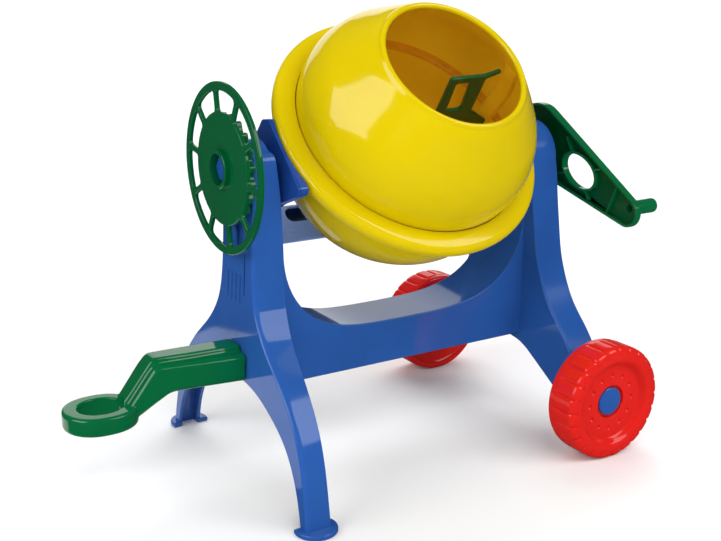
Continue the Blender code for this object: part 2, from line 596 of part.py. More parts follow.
# leaf spring that clicks in the scallops, held in a slot under the bearing
SPRING_X = left_outer_x(0.20)
spring_outline = [(SPRING_X - 0.0004, 0.1985), (SPRING_X - 0.0016, 0.1985), (SPRING_X - 0.0016, 0.2150),
                  (-0.1052, 0.2205), (-0.1072, 0.2225), (-0.1052, 0.2245), (-0.1038, 0.2230),
                  (-0.1052, 0.2218), (SPRING_X - 0.0004, 0.2160)]

# ------------------------------------------------------------------- drum ---
OUT_LOW = [(0.0300, BOWL_A), (0.0450, -0.0900), (0.0610, -0.0785), (0.0760, -0.0615), (0.0880, -0.0470),
           (0.0970, -0.0330), (0.1025, -0.0195), (0.1044, -0.0060), (0.1046, 0.0240)]
IN_LOW = [(0.0985, 0.0195), (0.1018, 0.0165), (0.1017, -0.0060), (0.0999, -0.0185),
          (0.0946, -0.0315), (0.0857, -0.0448), (0.0738, -0.0592), (0.0588, -0.0762), (0.0432, -0.0872),
          (0.0290, BOWL_A + WALL)]
# belt ring: a groove underneath takes the crown gear, a rounded skirt hides it
belt = [(0.1163, 0.0240), (0.1163, 0.0205), (0.1192, 0.0200), (0.1222, 0.0218), (BELT_R, BELT_A),
        (0.1222, 0.0276), (0.1190, 0.0302), (0.1120, 0.0322), (0.1050, 0.0328)]
lower_profile = [(0.0045, BOWL_A)] + OUT_LOW + belt \
    + [(0.1050, 0.0255), (0.1020, 0.0255), (0.0985, 0.0225)] + IN_LOW + [(0.0045, BOWL_A + WALL)]
drum_lower_shell = turned("drum_lower_shell", list(reversed(lower_profile)), DRUM_STEPS, "yellow",
                          Matrix.Identity(4), TILT)

OUT_UP = [(SEAM_R, 0.0258), (SEAM_R, 0.0310), (0.1058, 0.0400), (0.1060, 0.0480), (0.1048, 0.0580),
          (0.1012, 0.0690), (0.0955, 0.0800), (0.0878, 0.0900), (0.0795, 0.1000), (0.0715, 0.1095),
          (0.0655, 0.1155), (MOUTH_R, MOUTH_A)]
IN_UP = [(0.0604, MOUTH_A), (0.0604, 0.1160), (0.0692, 0.1078), (0.0772, 0.0984), (0.0856, 0.0882),
         (0.0931, 0.0784), (0.0986, 0.0676), (0.1020, 0.0570), (0.1032, 0.0480), (0.1030, 0.0400),
         (0.1017, 0.0310), (0.1017, 0.0258)]
drum_upper_shell = turned("drum_upper_shell", list(reversed(OUT_UP + IN_UP)), DRUM_STEPS, "yellow",
                          Matrix.Identity(4), TILT)

# mixing paddle: a loop standing in a plane beside the axis
PADDLE_B, PADDLE_T = 0.0150, 0.0035
loop = [(0.0345, 0.0260), (0.0245, 0.0790), (0.0600, 0.0810), (0.0735, 0.0872), (0.0745, 0.0832),
        (0.0625, 0.0765), (0.0715, 0.0330), (0.0930, 0.0190), (0.0990, 0.0150), (0.0990, 0.0030),
        (0.0600, 0.0080)]
hole = [(0.0425, 0.0345), (0.0335, 0.0722), (0.0480, 0.0730), (0.0580, 0.0360)]
paddle = plate_xz("mixing_paddle", [loop, hole], PADDLE_B - PADDLE_T / 2, PADDLE_B + PADDLE_T / 2)
mixing_paddle = add("mixing_paddle", paddle, "green", Matrix.Identity(4), TILT)

# ------------------------------------------------------------------ gears ---
# the crown gear under the belt ring: teeth point down, a tooth stands at +X
pitch = 2 * math.pi / CROWN_N
base_z, root_z, tip_z = 0.0237, PINION_R + TOOTH_DED, PINION_R - TOOTH_ADD
angles = []
for k in range(CROWN_N):
    for f, z in ((-0.28, root_z), (-0.13, tip_z), (0.13, tip_z), (0.28, root_z)):
        angles.append((pitch * (k + f), z))
bm = bmesh.new()
rows = []
for ang, z in angles:
    c, s = math.cos(ang), math.sin(ang)
    rows.append([bm.verts.new((r * c, r * s, h)) for r, h in
                 ((CROWN_IN, base_z), (CROWN_OUT, base_z), (CROWN_OUT, z), (CROWN_IN, z))])
for a, b in zip(rows, rows[1:] + rows[:1]):
    for i in range(4):
        j = (i + 1) % 4
        bm.faces.new((a[i], a[j], b[j], b[i]))
bmesh.ops.recalc_face_normals(bm, faces=bm.faces)
mesh = bpy.data.meshes.new("crown_gear")
bm.to_mesh(mesh)
bm.free()
crown_gear = add("crown_gear", mesh, "white", Matrix.Identity(4), TILT)

# the pinion on the crank shaft: a gap faces the crown tooth at rest
pinion_outline = []
pitch = 2 * math.pi / PINION_N
for k in range(PINION_N):
    mid = math.pi / 2 + pitch * (k + 0.5)
    for f, r in ((-0.26, PINION_R - TOOTH_DED), (-0.10, PINION_R + TOOTH_ADD),
                 (0.10, PINION_R + TOOTH_ADD), (0.26, PINION_R - TOOTH_DED)):
        ang = mid + pitch * f
        pinion_outline.append((r * math.cos(ang), r * math.sin(ang)))
pinion = plate_yz("drive_pinion", [pinion_outline, circle(SHAFT_R + GAP, 20)], 0.1059, 0.1150)
drive_pinion = add("drive_pinion", pinion, "white", Matrix.Identity(4), TILT)

# ------------------------------------------------------------------- crank --
CRANK_FRAME = Matrix.Rotation(-TILT_REST, 4, "X")       # back to upright inside tilt_axis
C0, C1, CT = (x - X_DRUM for x in (CRANK_X0, CRANK_X1, CRANK_TIP))
shaft = rod_mesh("crank_shaft", SHAFT_R, (0.1062, 0, 0), (C1 - 0.0042, 0, 0), 20)
crank_shaft = add("crank_shaft", shaft, "steel", Matrix.Identity(4), TILT)
boolean(crank_shaft, add("shaft_thread", rod_mesh(
    "shaft_thread", 0.0018 + GAP, (C1 - 0.0150, 0, 0), (C1 + 0.02, 0, 0), 10), None, Matrix.Identity(4), TILT))

ALONG = Vector((-math.cos(CRANK_ANGLE), -math.sin(CRANK_ANGLE)))
SIDE = Vector((-ALONG.y, ALONG.x))
LEANING = math.asin((CRANK_HUB - CRANK_END) / CRANK_L)


def crank_outline(by):
    """Tapered arm with round ends, moved inwards by a wall thickness."""
    pts = []
    for centre, radius, start, end in (
            (Vector((0, 0)), CRANK_HUB - by, math.pi / 2 - LEANING, 1.5 * math.pi + LEANING),
            (ALONG * CRANK_L, CRANK_END - by, -math.pi / 2 + LEANING, math.pi / 2 - LEANING)):
        for i in range(11):
            ang = start + (end - start) * i / 10
            pts.append(tuple(centre + radius * (math.cos(ang) * ALONG + math.sin(ang) * SIDE)))
    return pts


crank = add("crank", plate_yz("crank", [crank_outline(0.0)], C0, C1), "green", CRANK_FRAME, TILT)


def crank_tool(mesh, kind="DIFFERENCE"):
    boolean(crank, add(mesh.name, mesh, None, CRANK_FRAME, TILT), kind)


crank_tool(plate_yz("crank_hollow", [crank_outline(0.0024)], C0 - 0.01, C1 - 0.0026))
HOLE = ALONG * CRANK_HOLE_AT
END = ALONG * CRANK_L - SIDE * CRANK_PIN_UP
crank_tool(rod_mesh("crank_hub", 0.0115, (C0 + 0.0010, 0, 0), (C1 - 0.0012, 0, 0), 20), "UNION")
crank_tool(rod_mesh("hole_collar", CRANK_HOLE + 0.0024, (C0 + 0.0015, HOLE.x, HOLE.y),
                    (C1 - 0.0011, HOLE.x, HOLE.y), 28), "UNION")
for at, size in ((0.1010, 0.0150),):
    a, b = ALONG * at - SIDE * size, ALONG * at + SIDE * size
    rib = plate_yz("crank_rib", [[tuple(a - ALONG * 0.0009), tuple(b - ALONG * 0.0009),
                                  tuple(b + ALONG * 0.0009), tuple(a + ALONG * 0.0009)]],
                   C0 + 0.0055, C1 - 0.0010)
    crank_tool(rib, "UNION")
crank_tool(rod_mesh("crank_pin", 0.0064, (C1 - 0.0010, END.x, END.y), (CT, END.x, END.y), 18), "UNION")
crank_tool(rod_mesh("crank_hole", CRANK_HOLE, (C0 - 0.01, HOLE.x, HOLE.y), (C1 + 0.01, HOLE.x, HOLE.y), 28))
crank_tool(rod_mesh("pin_hollow", 0.0034, (C0 - 0.01, END.x, END.y), (CT - 0.0025, END.x, END.y), 14))
crank_tool(rod_mesh("crank_shaft_bore", SHAFT_R + GAP, (C0 - 0.01, 0, 0), (C1 - 0.0036, 0, 0), 20))
crank_tool(rod_mesh("crank_screw_bore", 0.0018 + GAP, (C0 - 0.01, 0, 0), (C1 + 0.01, 0, 0), 10))
crank_screw = add("crank_screw", rod_mesh("crank_screw", 0.0040, (C1 + GAP, 0, 0), (C1 + 0.0024, 0, 0), 14),
                  "steel", Matrix.Identity(4), TILT)
boolean(crank_screw, add("crank_screw_shank", rod_mesh(
    "crank_screw_shank", 0.0018, (C1 - 0.0130, 0, 0), (C1 + 0.0012, 0, 0), 10), None, Matrix.Identity(4), TILT), "UNION")

# ------------------------------------------------------------------ wheels --
wheel_profile = [(0.0080, WHEEL_IN), (0.0130, WHEEL_IN), (0.0130, 0.1360), (0.0185, 0.1360),
                 (0.0185, 0.1410), (0.0470, 0.1410), (0.0470, WHEEL_IN), (0.0495, WHEEL_IN),
                 (0.0516, 0.1185), (WHEEL_R, 0.1220), (WHEEL_R, 0.1430), (0.0512, 0.1462),
                 (0.0480, 0.1482), (0.0420, WHEEL_OUT), (0.0375, 0.1480), (0.0330, 0.1445),
                 (0.0152, 0.1445), (0.0152, 0.1390), (0.0080, 0.1390)]
for side, place in ((-1, "front"), (1, "rear")):
    axis = Matrix.Translation((AXLE_X, 0, WHEEL_R)) @ Matrix.Rotation(-side * math.pi / 2, 4, "X")
    turned("wheel_%s" % place, wheel_profile, WHEEL_STEPS, "red", axis)
    # headed pin that holds the wheel on its leg
    pin = add("wheel_pin_%s" % place, rod_mesh(
        "wheel_pin_%s" % place, PIN_HEAD_R, (0, 0, 0.1394), (0, 0, 0.1440), 28), "blue", axis)
    boolean(pin, add("pin_shank", rod_mesh(
        "pin_shank", PIN_R, (0, 0, 0.0950), (0, 0, 0.1400), 16), None, axis), "UNION")

# detent spring last, clear of the handwheel's ring and the end frame's face
detent_spring = add("detent_spring", plate_xz("detent_spring", [spring_outline], -0.0040, 0.0040), "blue")

for ob in list(PARTS.objects) + list(TOOLS.objects):
    if ob.parent is None:
        ob.location.x += CENTRE_X
for ob in PARTS.objects:
    if ob.type == "MESH":
        smooth(ob)
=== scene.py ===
import math

import bmesh
import bpy
from mathutils import Matrix, Vector


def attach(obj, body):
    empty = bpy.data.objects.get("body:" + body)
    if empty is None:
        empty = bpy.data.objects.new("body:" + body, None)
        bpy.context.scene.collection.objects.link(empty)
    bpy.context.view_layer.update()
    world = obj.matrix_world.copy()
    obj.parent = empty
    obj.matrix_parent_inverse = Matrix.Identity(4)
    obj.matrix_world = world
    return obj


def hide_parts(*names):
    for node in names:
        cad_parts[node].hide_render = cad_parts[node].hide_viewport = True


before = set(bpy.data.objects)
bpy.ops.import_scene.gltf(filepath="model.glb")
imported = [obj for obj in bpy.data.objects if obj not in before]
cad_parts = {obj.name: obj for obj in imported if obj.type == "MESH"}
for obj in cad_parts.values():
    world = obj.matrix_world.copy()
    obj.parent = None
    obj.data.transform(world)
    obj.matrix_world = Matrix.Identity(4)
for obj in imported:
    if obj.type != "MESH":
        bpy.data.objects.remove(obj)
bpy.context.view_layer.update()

SHIFT = 0.00265                          # slide of the whole object along X
XD, ZT = 0.0535 + SHIFT, 0.2690          # drum axis, tilt axis height
TILT = Matrix.Translation((XD, 0, ZT)) @ Matrix.Rotation(math.radians(45.0), 4, "X")
UPRIGHT = Matrix.Translation((XD, 0, ZT))
SLIDE = Matrix.Translation((SHIFT, 0, 0))
HALF_SPAN = 0.1275
# a plate drawn as (u, v) with its thickness along w
YZ = Matrix(((0, 0, 1, 0), (1, 0, 0, 0), (0, 1, 0, 0), (0, 0, 0, 1)))
XZ = Matrix(((1, 0, 0, 0), (0, 0, 1, 0), (0, 1, 0, 0), (0, 0, 0, 1)))
XY = Matrix.Identity(4)


# ------------------------------------------------------------------ helpers --
def new_object(name, mesh):
    ob = bpy.data.objects.new(name, mesh)
    bpy.context.scene.collection.objects.link(ob)
    return ob


def from_bmesh(name, bm):
    bmesh.ops.recalc_face_normals(bm, faces=bm.faces)
    mesh = bpy.data.meshes.new(name)
    bm.to_mesh(mesh)
    bm.free()
    return new_object(name, mesh)


def discard(ob):
    data = ob.data
    bpy.data.objects.remove(ob, do_unlink=True)
    if data is not None and data.users == 0:
        (bpy.data.curves if isinstance(data, bpy.types.Curve) else bpy.data.meshes).remove(data)


def bake(ob):
    """Apply the modifiers of an object."""
    graph = bpy.context.evaluated_depsgraph_get()
    mesh = bpy.data.meshes.new_from_object(ob.evaluated_get(graph))
    ob.modifiers.clear()
    old, ob.data = ob.data, mesh
    bpy.data.meshes.remove(old)
    return ob


def combine(ob, tool, kind):
    """Boolean with a tool that is then removed."""
    before = len(ob.data.vertices)
    for solver in ("MANIFOLD", "EXACT"):
        mod = ob.modifiers.new("combine", "BOOLEAN")
        mod.operation = kind
        mod.object = tool
        mod.solver = solver
        graph = bpy.context.evaluated_depsgraph_get()
        mesh = bpy.data.meshes.new_from_object(ob.evaluated_get(graph))
        ob.modifiers.clear()
        if len(mesh.vertices) not in (0, before):
            break
        if solver == "MANIFOLD":
            bpy.data.meshes.remove(mesh)
    old, ob.data = ob.data, mesh
    bpy.data.meshes.remove(old)
    discard(tool)
    return ob


def unite(ob, *tools):
    for tool in tools:
        combine(ob, tool, "UNION")
    return ob


def cut(ob, *tools):
    for tool in tools:
        combine(ob, tool, "DIFFERENCE")
    return ob


def voxel(ob, size):
    mod = ob.modifiers.new("voxel", "REMESH")
    mod.mode = "VOXEL"
    mod.voxel_size = size
    return bake(ob)


def relax(ob, turns, factor=0.5):
    mod = ob.modifiers.new("relax", "SMOOTH")
    mod.factor = factor
    mod.iterations = turns
    return bake(ob)


def swell(ob, by):
    """Move the surface along its normals."""
    mesh = ob.data
    moved = [v.co + v.normal * by for v in mesh.vertices]
    for v, co in zip(mesh.vertices, moved):
        v.co = co
    mesh.update()
    return ob


def spline_through(points, per=4):
    """Catmull-Rom curve through the given points."""
    pts = [points[0]] + list(points) + [points[-1]]
    out = []
    for i in range(1, len(pts) - 2):
        p0, p1, p2, p3 = pts[i - 1], pts[i], pts[i + 1], pts[i + 2]
        for k in range(per):
            t = k / per
            out.append(tuple(0.5 * (2 * b + (c - a) * t + (2 * a - 5 * b + 4 * c - d) * t * t
                                    + (3 * b - a - 3 * c + d) * t ** 3)
                             for a, b, c, d in zip(p0, p1, p2, p3)))
    out.append(tuple(points[-1]))
    return out


def fair(points, per=8, turns=14):
    """Curve through the points with its bumps smoothed; the ends stay."""
    pts = [Vector(p) for p in spline_through(points, per)]
    for _ in range(turns):
        pts = [pts[0]] + [(pts[i - 1] + 2 * pts[i] + pts[i + 1]) / 4 for i in range(1, len(pts) - 1)] + [pts[-1]]
    return [tuple(p) for p in pts]


def rounded(points, radius, steps=5, closed=True):
    """Polygon with its corners rounded; radius is one value or one for each corner."""
    out, n = [], len(points)
    for i, p in enumerate(points):
        r = radius[i] if isinstance(radius, (list, tuple)) else radius
        if r <= 0 or (not closed and i in (0, n - 1)):
            out.append(tuple(p))
            continue
        a, b, c = Vector(points[i - 1]), Vector(p), Vector(points[(i + 1) % n])
        u, v = a - b, c - b
        lu, lv = u.length, v.length
        u, v = u / lu, v / lv
        ang = max(0.05, min(u.angle(v), math.pi - 0.004))
        t = min(r / math.tan(ang / 2), 0.48 * lu, 0.48 * lv)
        rr = t * math.tan(ang / 2)
        mid = u + v
        if mid.length < 1e-4:
            out += [tuple(b + u * t * (1 - 2 * k / steps)) for k in range(steps + 1)]
            continue
        centre = b + mid.normalized() * (rr / math.sin(ang / 2))
        p0, p1 = b + u * t - centre, b + v * t - centre
        a0, a1 = math.atan2(p0.y, p0.x), math.atan2(p1.y, p1.x)
        turn = (a1 - a0 + math.pi) % (2 * math.pi) - math.pi
        out += [(centre.x + rr * math.cos(a0 + turn * k / steps),
                 centre.y + rr * math.sin(a0 + turn * k / steps)) for k in range(steps + 1)]
    return out


def ellipse(a, b, sides, centre=(0.0, 0.0), phase=0.0):
    return [(centre[0] + a * math.cos(phase + 2 * math.pi * i / sides),
             centre[1] + b * math.sin(phase + 2 * math.pi * i / sides)) for i in range(sides)]


def circle(radius, sides, centre=(0.0, 0.0), phase=0.0):
    return ellipse(radius, radius, sides, centre, phase)


def plate(name, loops, low, high, bevel, axes, where=None, steps=3):
    """Outlines (outer first, then holes) thickened from low to high, edges rounded."""
    curve = bpy.data.curves.new(name, "CURVE")
    curve.dimensions = "2D"
    curve.fill_mode = "BOTH"
    curve.extrude = (high - low) / 2 - bevel
    curve.bevel_depth = bevel
    curve.bevel_resolution = steps
    curve.offset = -bevel
    for loop in loops:
        spline = curve.splines.new("POLY")
        spline.points.add(len(loop) - 1)
        for point, (u, v) in zip(spline.points, loop):
            point.co = (u, v, 0.0, 1.0)
        spline.use_cyclic_u = True
    ob = new_object(name + "_curve", curve)
    graph = bpy.context.evaluated_depsgraph_get()
    mesh = bpy.data.meshes.new_from_object(ob.evaluated_get(graph))
    discard(ob)
    bm = bmesh.new()
    bm.from_mesh(mesh)
    bpy.data.meshes.remove(mesh)
    bmesh.ops.remove_doubles(bm, verts=bm.verts, dist=2e-6)
    bmesh.ops.dissolve_degenerate(bm, edges=bm.edges, dist=1e-6)
    bm.transform((where or Matrix.Identity(4)) @ axes @ Matrix.Translation((0, 0, (low + high) / 2)))
    return from_bmesh(name, bm)


def lathe(name, profile, steps, where=None, shape=None):
    """Closed (radius, height) profile turned about Z; shape may move a point by its angle."""
    bm = bmesh.new()
    rings = []
    for r, h in profile:
        ring = []
        for i in range(steps if r > 1e-7 else 1):
            ang = 2 * math.pi * i / steps
            rr, hh = shape(r, h, ang) if shape else (r, h)
            ring.append(bm.verts.new((rr * math.cos(ang), rr * math.sin(ang), hh)))
        rings.append(ring)
    for a, b in zip(rings, rings[1:] + rings[:1]):
        if len(a) == 1 and len(b) == 1:
            continue
        for i in range(steps):
            j = (i + 1) % steps
            if len(a) == 1:
                bm.faces.new((a[0], b[j], b[i]))
            elif len(b) == 1:
                bm.faces.new((a[i], a[j], b[0]))
            else:
                bm.faces.new((a[i], a[j], b[j], b[i]))
    if where is not None:
        bm.transform(where)
    return from_bmesh(name, bm)


def along(start, end):
    """Matrix that puts the Z axis from start towards end."""
    start, end = Vector(start), Vector(end)
    turn = Vector((0, 0, 1)).rotation_difference((end - start).normalized())
    return Matrix.Translation(start) @ turn.to_matrix().to_4x4()


def rod(name, radius, start, end, sides=48, edge=0.0, where=None):
    """Round bar between two points with softened ends."""
    length = (Vector(end) - Vector(start)).length
    e = min(edge, radius * 0.6, length * 0.3)
    profile = [(0.0, 0.0)] + [(radius - e + e * math.sin(q), e - e * math.cos(q))
                              for q in (math.pi / 2 * k / 4 for k in range(5))] \
        + [(radius - e + e * math.cos(q), length - e + e * math.sin(q))
           for q in (math.pi / 2 * k / 4 for k in range(5))] + [(0.0, length)]
    if e <= 0:
        profile = [(0.0, 0.0), (radius, 0.0), (radius, length), (0.0, length)]
    return lathe(name, profile, sides, (where or Matrix.Identity(4)) @ along(start, end))


def both_sides(half):
    left = [(-y, z) for y, z in reversed(half) if y > 1e-9]
    return list(half) + left


def inset(loop, by):
    """Outline moved inwards by a wall thickness."""
    n = len(loop)
    area = sum(loop[i][0] * loop[(i + 1) % n][1] - loop[(i + 1) % n][0] * loop[i][1] for i in range(n))
    sign = 1.0 if area > 0 else -1.0
    out = []
    for i in range(n):
        a, b, c = (Vector(loop[(i + k) % n]) for k in (-1, 0, 1))
        d1, d2 = (b - a).normalized(), (c - b).normalized()
        n1, n2 = Vector((-d1.y, d1.x)) * sign, Vector((-d2.y, d2.x)) * sign
        mid = n1 + n2
        out.append(tuple(b + mid / 2 * (by / max(0.35, mid.length_squared / 2))))
    return out


# ---------------------------------------------------------------- materials --
def plastic(name, base, rough, low=0.92, high=1.06, level=0.5, grain=0.010, flow=0.04):
    """Moulded plastic: pigment clouds, handled gloss, fine skin, slow sink marks."""
    mat = bpy.data.materials.new(name)
    mat.use_nodes = True
    nodes, links = mat.node_tree.nodes, mat.node_tree.links
    bsdf = nodes["Principled BSDF"]
    bsdf.inputs["IOR"].default_value = 1.49
    bsdf.inputs["Specular IOR Level"].default_value = level
    coords = nodes.new("ShaderNodeTexCoord")

    def noise(scale, detail, stretch=None):
        node = nodes.new("ShaderNodeTexNoise")
        node.inputs["Scale"].default_value = scale
        node.inputs["Detail"].default_value = detail
        if stretch:
            place = nodes.new("ShaderNodeMapping")
            place.inputs["Scale"].default_value = stretch
            place.inputs["Rotation"].default_value = (0.5, 0.9, 0.3)
            links.new(coords.outputs["Object"], place.inputs["Vector"])
            links.new(place.outputs["Vector"], node.inputs["Vector"])
        else:
            links.new(coords.outputs["Object"], node.inputs["Vector"])
        return node

    clouds = noise(14.0, 4.0)
    tint = nodes.new("ShaderNodeValToRGB")
    stops = tint.color_ramp.elements
    stops[0].position, stops[0].color = 0.30, (*(c * low for c in base), 1.0)
    stops[1].position, stops[1].color = 0.72, (*(min(1.0, c * high) for c in base), 1.0)
    stops.new(0.50).color = (*base, 1.0)
    links.new(clouds.outputs["Fac"], tint.inputs["Fac"])
    links.new(tint.outputs["Color"], bsdf.inputs["Base Color"])
    # gloss broken by handling marks and hair scratches
    marks = noise(38.0, 6.0)
    hair = noise(6.0, 5.0, (9.0, 160.0, 40.0))
    mixed = nodes.new("ShaderNodeMath")
    mixed.operation = "MULTIPLY"
    links.new(marks.outputs["Fac"], mixed.inputs[0])
    links.new(hair.outputs["Fac"], mixed.inputs[1])
    gloss = nodes.new("ShaderNodeMapRange")
    gloss.inputs["From Min"].default_value = 0.12
    gloss.inputs["From Max"].default_value = 0.42
    gloss.inputs["To Min"].default_value = max(0.02, rough - 0.03)
    gloss.inputs["To Max"].default_value = rough + 0.05
    links.new(mixed.outputs["Value"], gloss.inputs["Value"])
    links.new(gloss.outputs["Result"], bsdf.inputs["Roughness"])
    # skin of the mould and slow sink marks
    skin = noise(900.0, 2.0)
    sink = noise(16.0, 1.0)
    fine = nodes.new("ShaderNodeBump")
    fine.inputs["Strength"].default_value = grain
    fine.inputs["Distance"].default_value = 0.0004
    wide = nodes.new("ShaderNodeBump")
    wide.inputs["Strength"].default_value = flow
    wide.inputs["Distance"].default_value = 0.002
    links.new(skin.outputs["Fac"], fine.inputs["Height"])
    links.new(sink.outputs["Fac"], wide.inputs["Height"])
    links.new(fine.outputs["Normal"], wide.inputs["Normal"])
    links.new(wide.outputs["Normal"], bsdf.inputs["Normal"])
    return mat


def steel(name):
    mat = bpy.data.materials.new(name)
    mat.use_nodes = True
    nodes, links = mat.node_tree.nodes, mat.node_tree.links
    bsdf = nodes["Principled BSDF"]
    bsdf.inputs["Metallic"].default_value = 1.0
    coords = nodes.new("ShaderNodeTexCoord")
    place = nodes.new("ShaderNodeMapping")
    place.inputs["Scale"].default_value = (40.0, 900.0, 900.0)
    brush = nodes.new("ShaderNodeTexNoise")
    brush.inputs["Scale"].default_value = 1.0
    brush.inputs["Detail"].default_value = 5.0
    links.new(coords.outputs["Object"], place.inputs["Vector"])
    links.new(place.outputs["Vector"], brush.inputs["Vector"])
    tint = nodes.new("ShaderNodeValToRGB")
    tint.color_ramp.elements[0].color = (0.42, 0.43, 0.45, 1)
    tint.color_ramp.elements[1].color = (0.66, 0.67, 0.69, 1)
    links.new(brush.outputs["Fac"], tint.inputs["Fac"])
    links.new(tint.outputs["Color"], bsdf.inputs["Base Color"])
    gloss = nodes.new("ShaderNodeMapRange")
    gloss.inputs["To Min"].default_value = 0.20
    gloss.inputs["To Max"].default_value = 0.42
    links.new(brush.outputs["Fac"], gloss.inputs["Value"])
    links.new(gloss.outputs["Result"], bsdf.inputs["Roughness"])
    bump = nodes.new("ShaderNodeBump")
    bump.inputs["Strength"].default_value = 0.08
    bump.inputs["Distance"].default_value = 0.0002
    links.new(brush.outputs["Fac"], bump.inputs["Height"])
    links.new(bump.outputs["Normal"], bsdf.inputs["Normal"])
    return mat


BLUE = plastic("blue_plastic", (0.020, 0.088, 0.335), 0.07, level=0.40)
# duller, less glossy copy of the blue: painted shade that hides the lamps' reflection on the right end frame's strips
BLUE_PAINTED_SHADE = plastic("blue_plastic_painted_shade", (0.019, 0.086, 0.335), 0.16, level=0.14)
NAVY = plastic("navy_plastic", (0.012, 0.062, 0.300), 0.10)
# pale copy of the navy: painted reflection of the pale surroundings on the cradle bar
NAVY_PAINTED_REFLECTION = plastic("navy_plastic_painted_reflection", (0.265, 0.415, 0.980), 0.25)
GREEN = plastic("green_plastic", (0.0006, 0.112, 0.034), 0.07)
# darker copy of the green: painted shade on the crank arm's inner floor
GREEN_PAINTED_SHADE = plastic("green_plastic_painted_shade", (0.0004, 0.060, 0.019), 0.14, level=0.3)
# darker copy of the green: painted shade on the handwheel
HANDWHEEL_PAINTED_SHADE = plastic("green_plastic_handwheel_painted_shade", (0.0004, 0.084, 0.025), 0.07, level=0.42)
YELLOW = plastic("yellow_plastic", (0.618, 0.468, 0.001), 0.10, 0.96, 1.03, 0.42)
# orange copy of the yellow: painted warm bounce light inside the drum
DRUM_INSIDE_PAINTED_BOUNCE = plastic("yellow_plastic_inside_painted_bounce", (0.985, 0.665, 0.020), 0.22, 0.94, 1.04)
# darker orange: painted shadow of the seam step inside the drum
DRUM_SEAM_PAINTED_SHADOW = plastic("yellow_plastic_seam_painted_shadow", (0.850, 0.400, 0.010), 0.26, 0.92, 1.06)
RED = plastic("red_plastic", (0.655, 0.014, 0.010), 0.11, level=0.38)
WHITE = plastic("white_plastic", (0.74, 0.74, 0.71), 0.30, 0.94, 1.03)
STEEL = steel("brushed_steel")


def dress(ob, mat, body, nodes=(), sharp=38.0, flat=False):
    ob.data.materials.clear()
    ob.data.materials.append(mat)
    ob.data.shade_smooth()
    ob.data.set_sharp_from_angle(angle=math.radians(sharp))
    if flat:
        # large flat faces keep their own normal next to rounded edges
        mod = ob.modifiers.new("flat", "WEIGHTED_NORMAL")
        mod.keep_sharp = True
        mod.weight = 80
        bake(ob)
    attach(ob, body)
    if nodes:
        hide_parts(*nodes)
    return ob


# ------------------------------------------------------------ frame moulding --
FOOT_X, FACE_LEAN, RIGHT_X, SHEET = -0.1120, 0.0433, 0.2112, 0.0030
TRUNNION_R, AXLE_X, WHEEL_R = 0.0125, 0.1927, 0.0524
PAD_X, PAD_Y, PAD_R, PAD_T = -0.0997, 0.1225, 0.0176, 0.0042
LEFT_OUTER = [(0.0290, 0.2600), (0.0285, 0.2300), (0.0280, 0.1950), (0.0305, 0.1690),
              (0.0365, 0.1500), (0.0515, 0.1310), (0.0665, 0.1180), (0.0835, 0.1040),
              (0.1025, 0.0835), (0.1160, 0.0590), (0.1242, 0.0330), (0.1300, 0.0000)]
LEFT_ARCH = [(0.1205, 0.0000), (0.1150, 0.0197), (0.1095, 0.0337), (0.1020, 0.0468), (0.0932, 0.0578),
             (0.0824, 0.0672), (0.0692, 0.0751), (0.0540, 0.0825), (0.0381, 0.0882), (0.0200, 0.0914),
             (0.0000, 0.0925)]
RIGHT_OUTER = [(0.0330, 0.2535), (0.0360, 0.2390), (0.0390, 0.2150), (0.0420, 0.1970),
               (0.0450, 0.1780), (0.0495, 0.1590), (0.0610, 0.1330), (0.0730, 0.1170),
               (0.0870, 0.1030), (0.0980, 0.0890), (0.1070, 0.0700), (0.1125, 0.0540)]
RIGHT_ARCH = [(0.0940, 0.0385), (0.0810, 0.0472), (0.0670, 0.0563), (0.0520, 0.0656),
              (0.0400, 0.0730), (0.0300, 0.0775), (0.0180, 0.0800), (0.0000, 0.0810)]
LEFT_INNER = [(-0.0200, -0.0900), (0.0000, -0.0900), (0.0340, -0.0898), (0.0630, -0.0884), (0.0876, -0.0867),
              (0.1080, -0.0845), (0.1500, -0.0768), (0.1800, -0.0745), (0.2100, -0.0747), (0.2400, -0.0765),
              (0.2600, -0.0785), (0.2800, -0.0810), (0.3200, -0.0840)]


def round_top(radius, centre_z, steps=14):
    return [(radius * math.sin(math.pi / 2 * i / steps), centre_z + radius * math.cos(math.pi / 2 * i / steps))
            for i in range(steps)]


left_rim = [(y, z) for y, z in round_top(0.0215, 0.2700, 20) if z > 0.2838] \
    + [(0.0172, 0.2829), (0.0215, 0.2826), (0.0248, 0.2818), (0.0270, 0.2800), (0.0282, 0.2772), (0.0288, 0.2735)] \
    + fair(LEFT_OUTER)
right_rim = round_top(0.0330, 0.2535) + fair(RIGHT_OUTER) + [(0.1120, 0.0470), (0.1098, 0.0410), (0.1060, 0.0380)]
left_arch, right_arch = fair(LEFT_ARCH, 6, 8), fair(RIGHT_ARCH, 6, 8)


def left_outer_x(z):
    return FOOT_X + FACE_LEAN * z


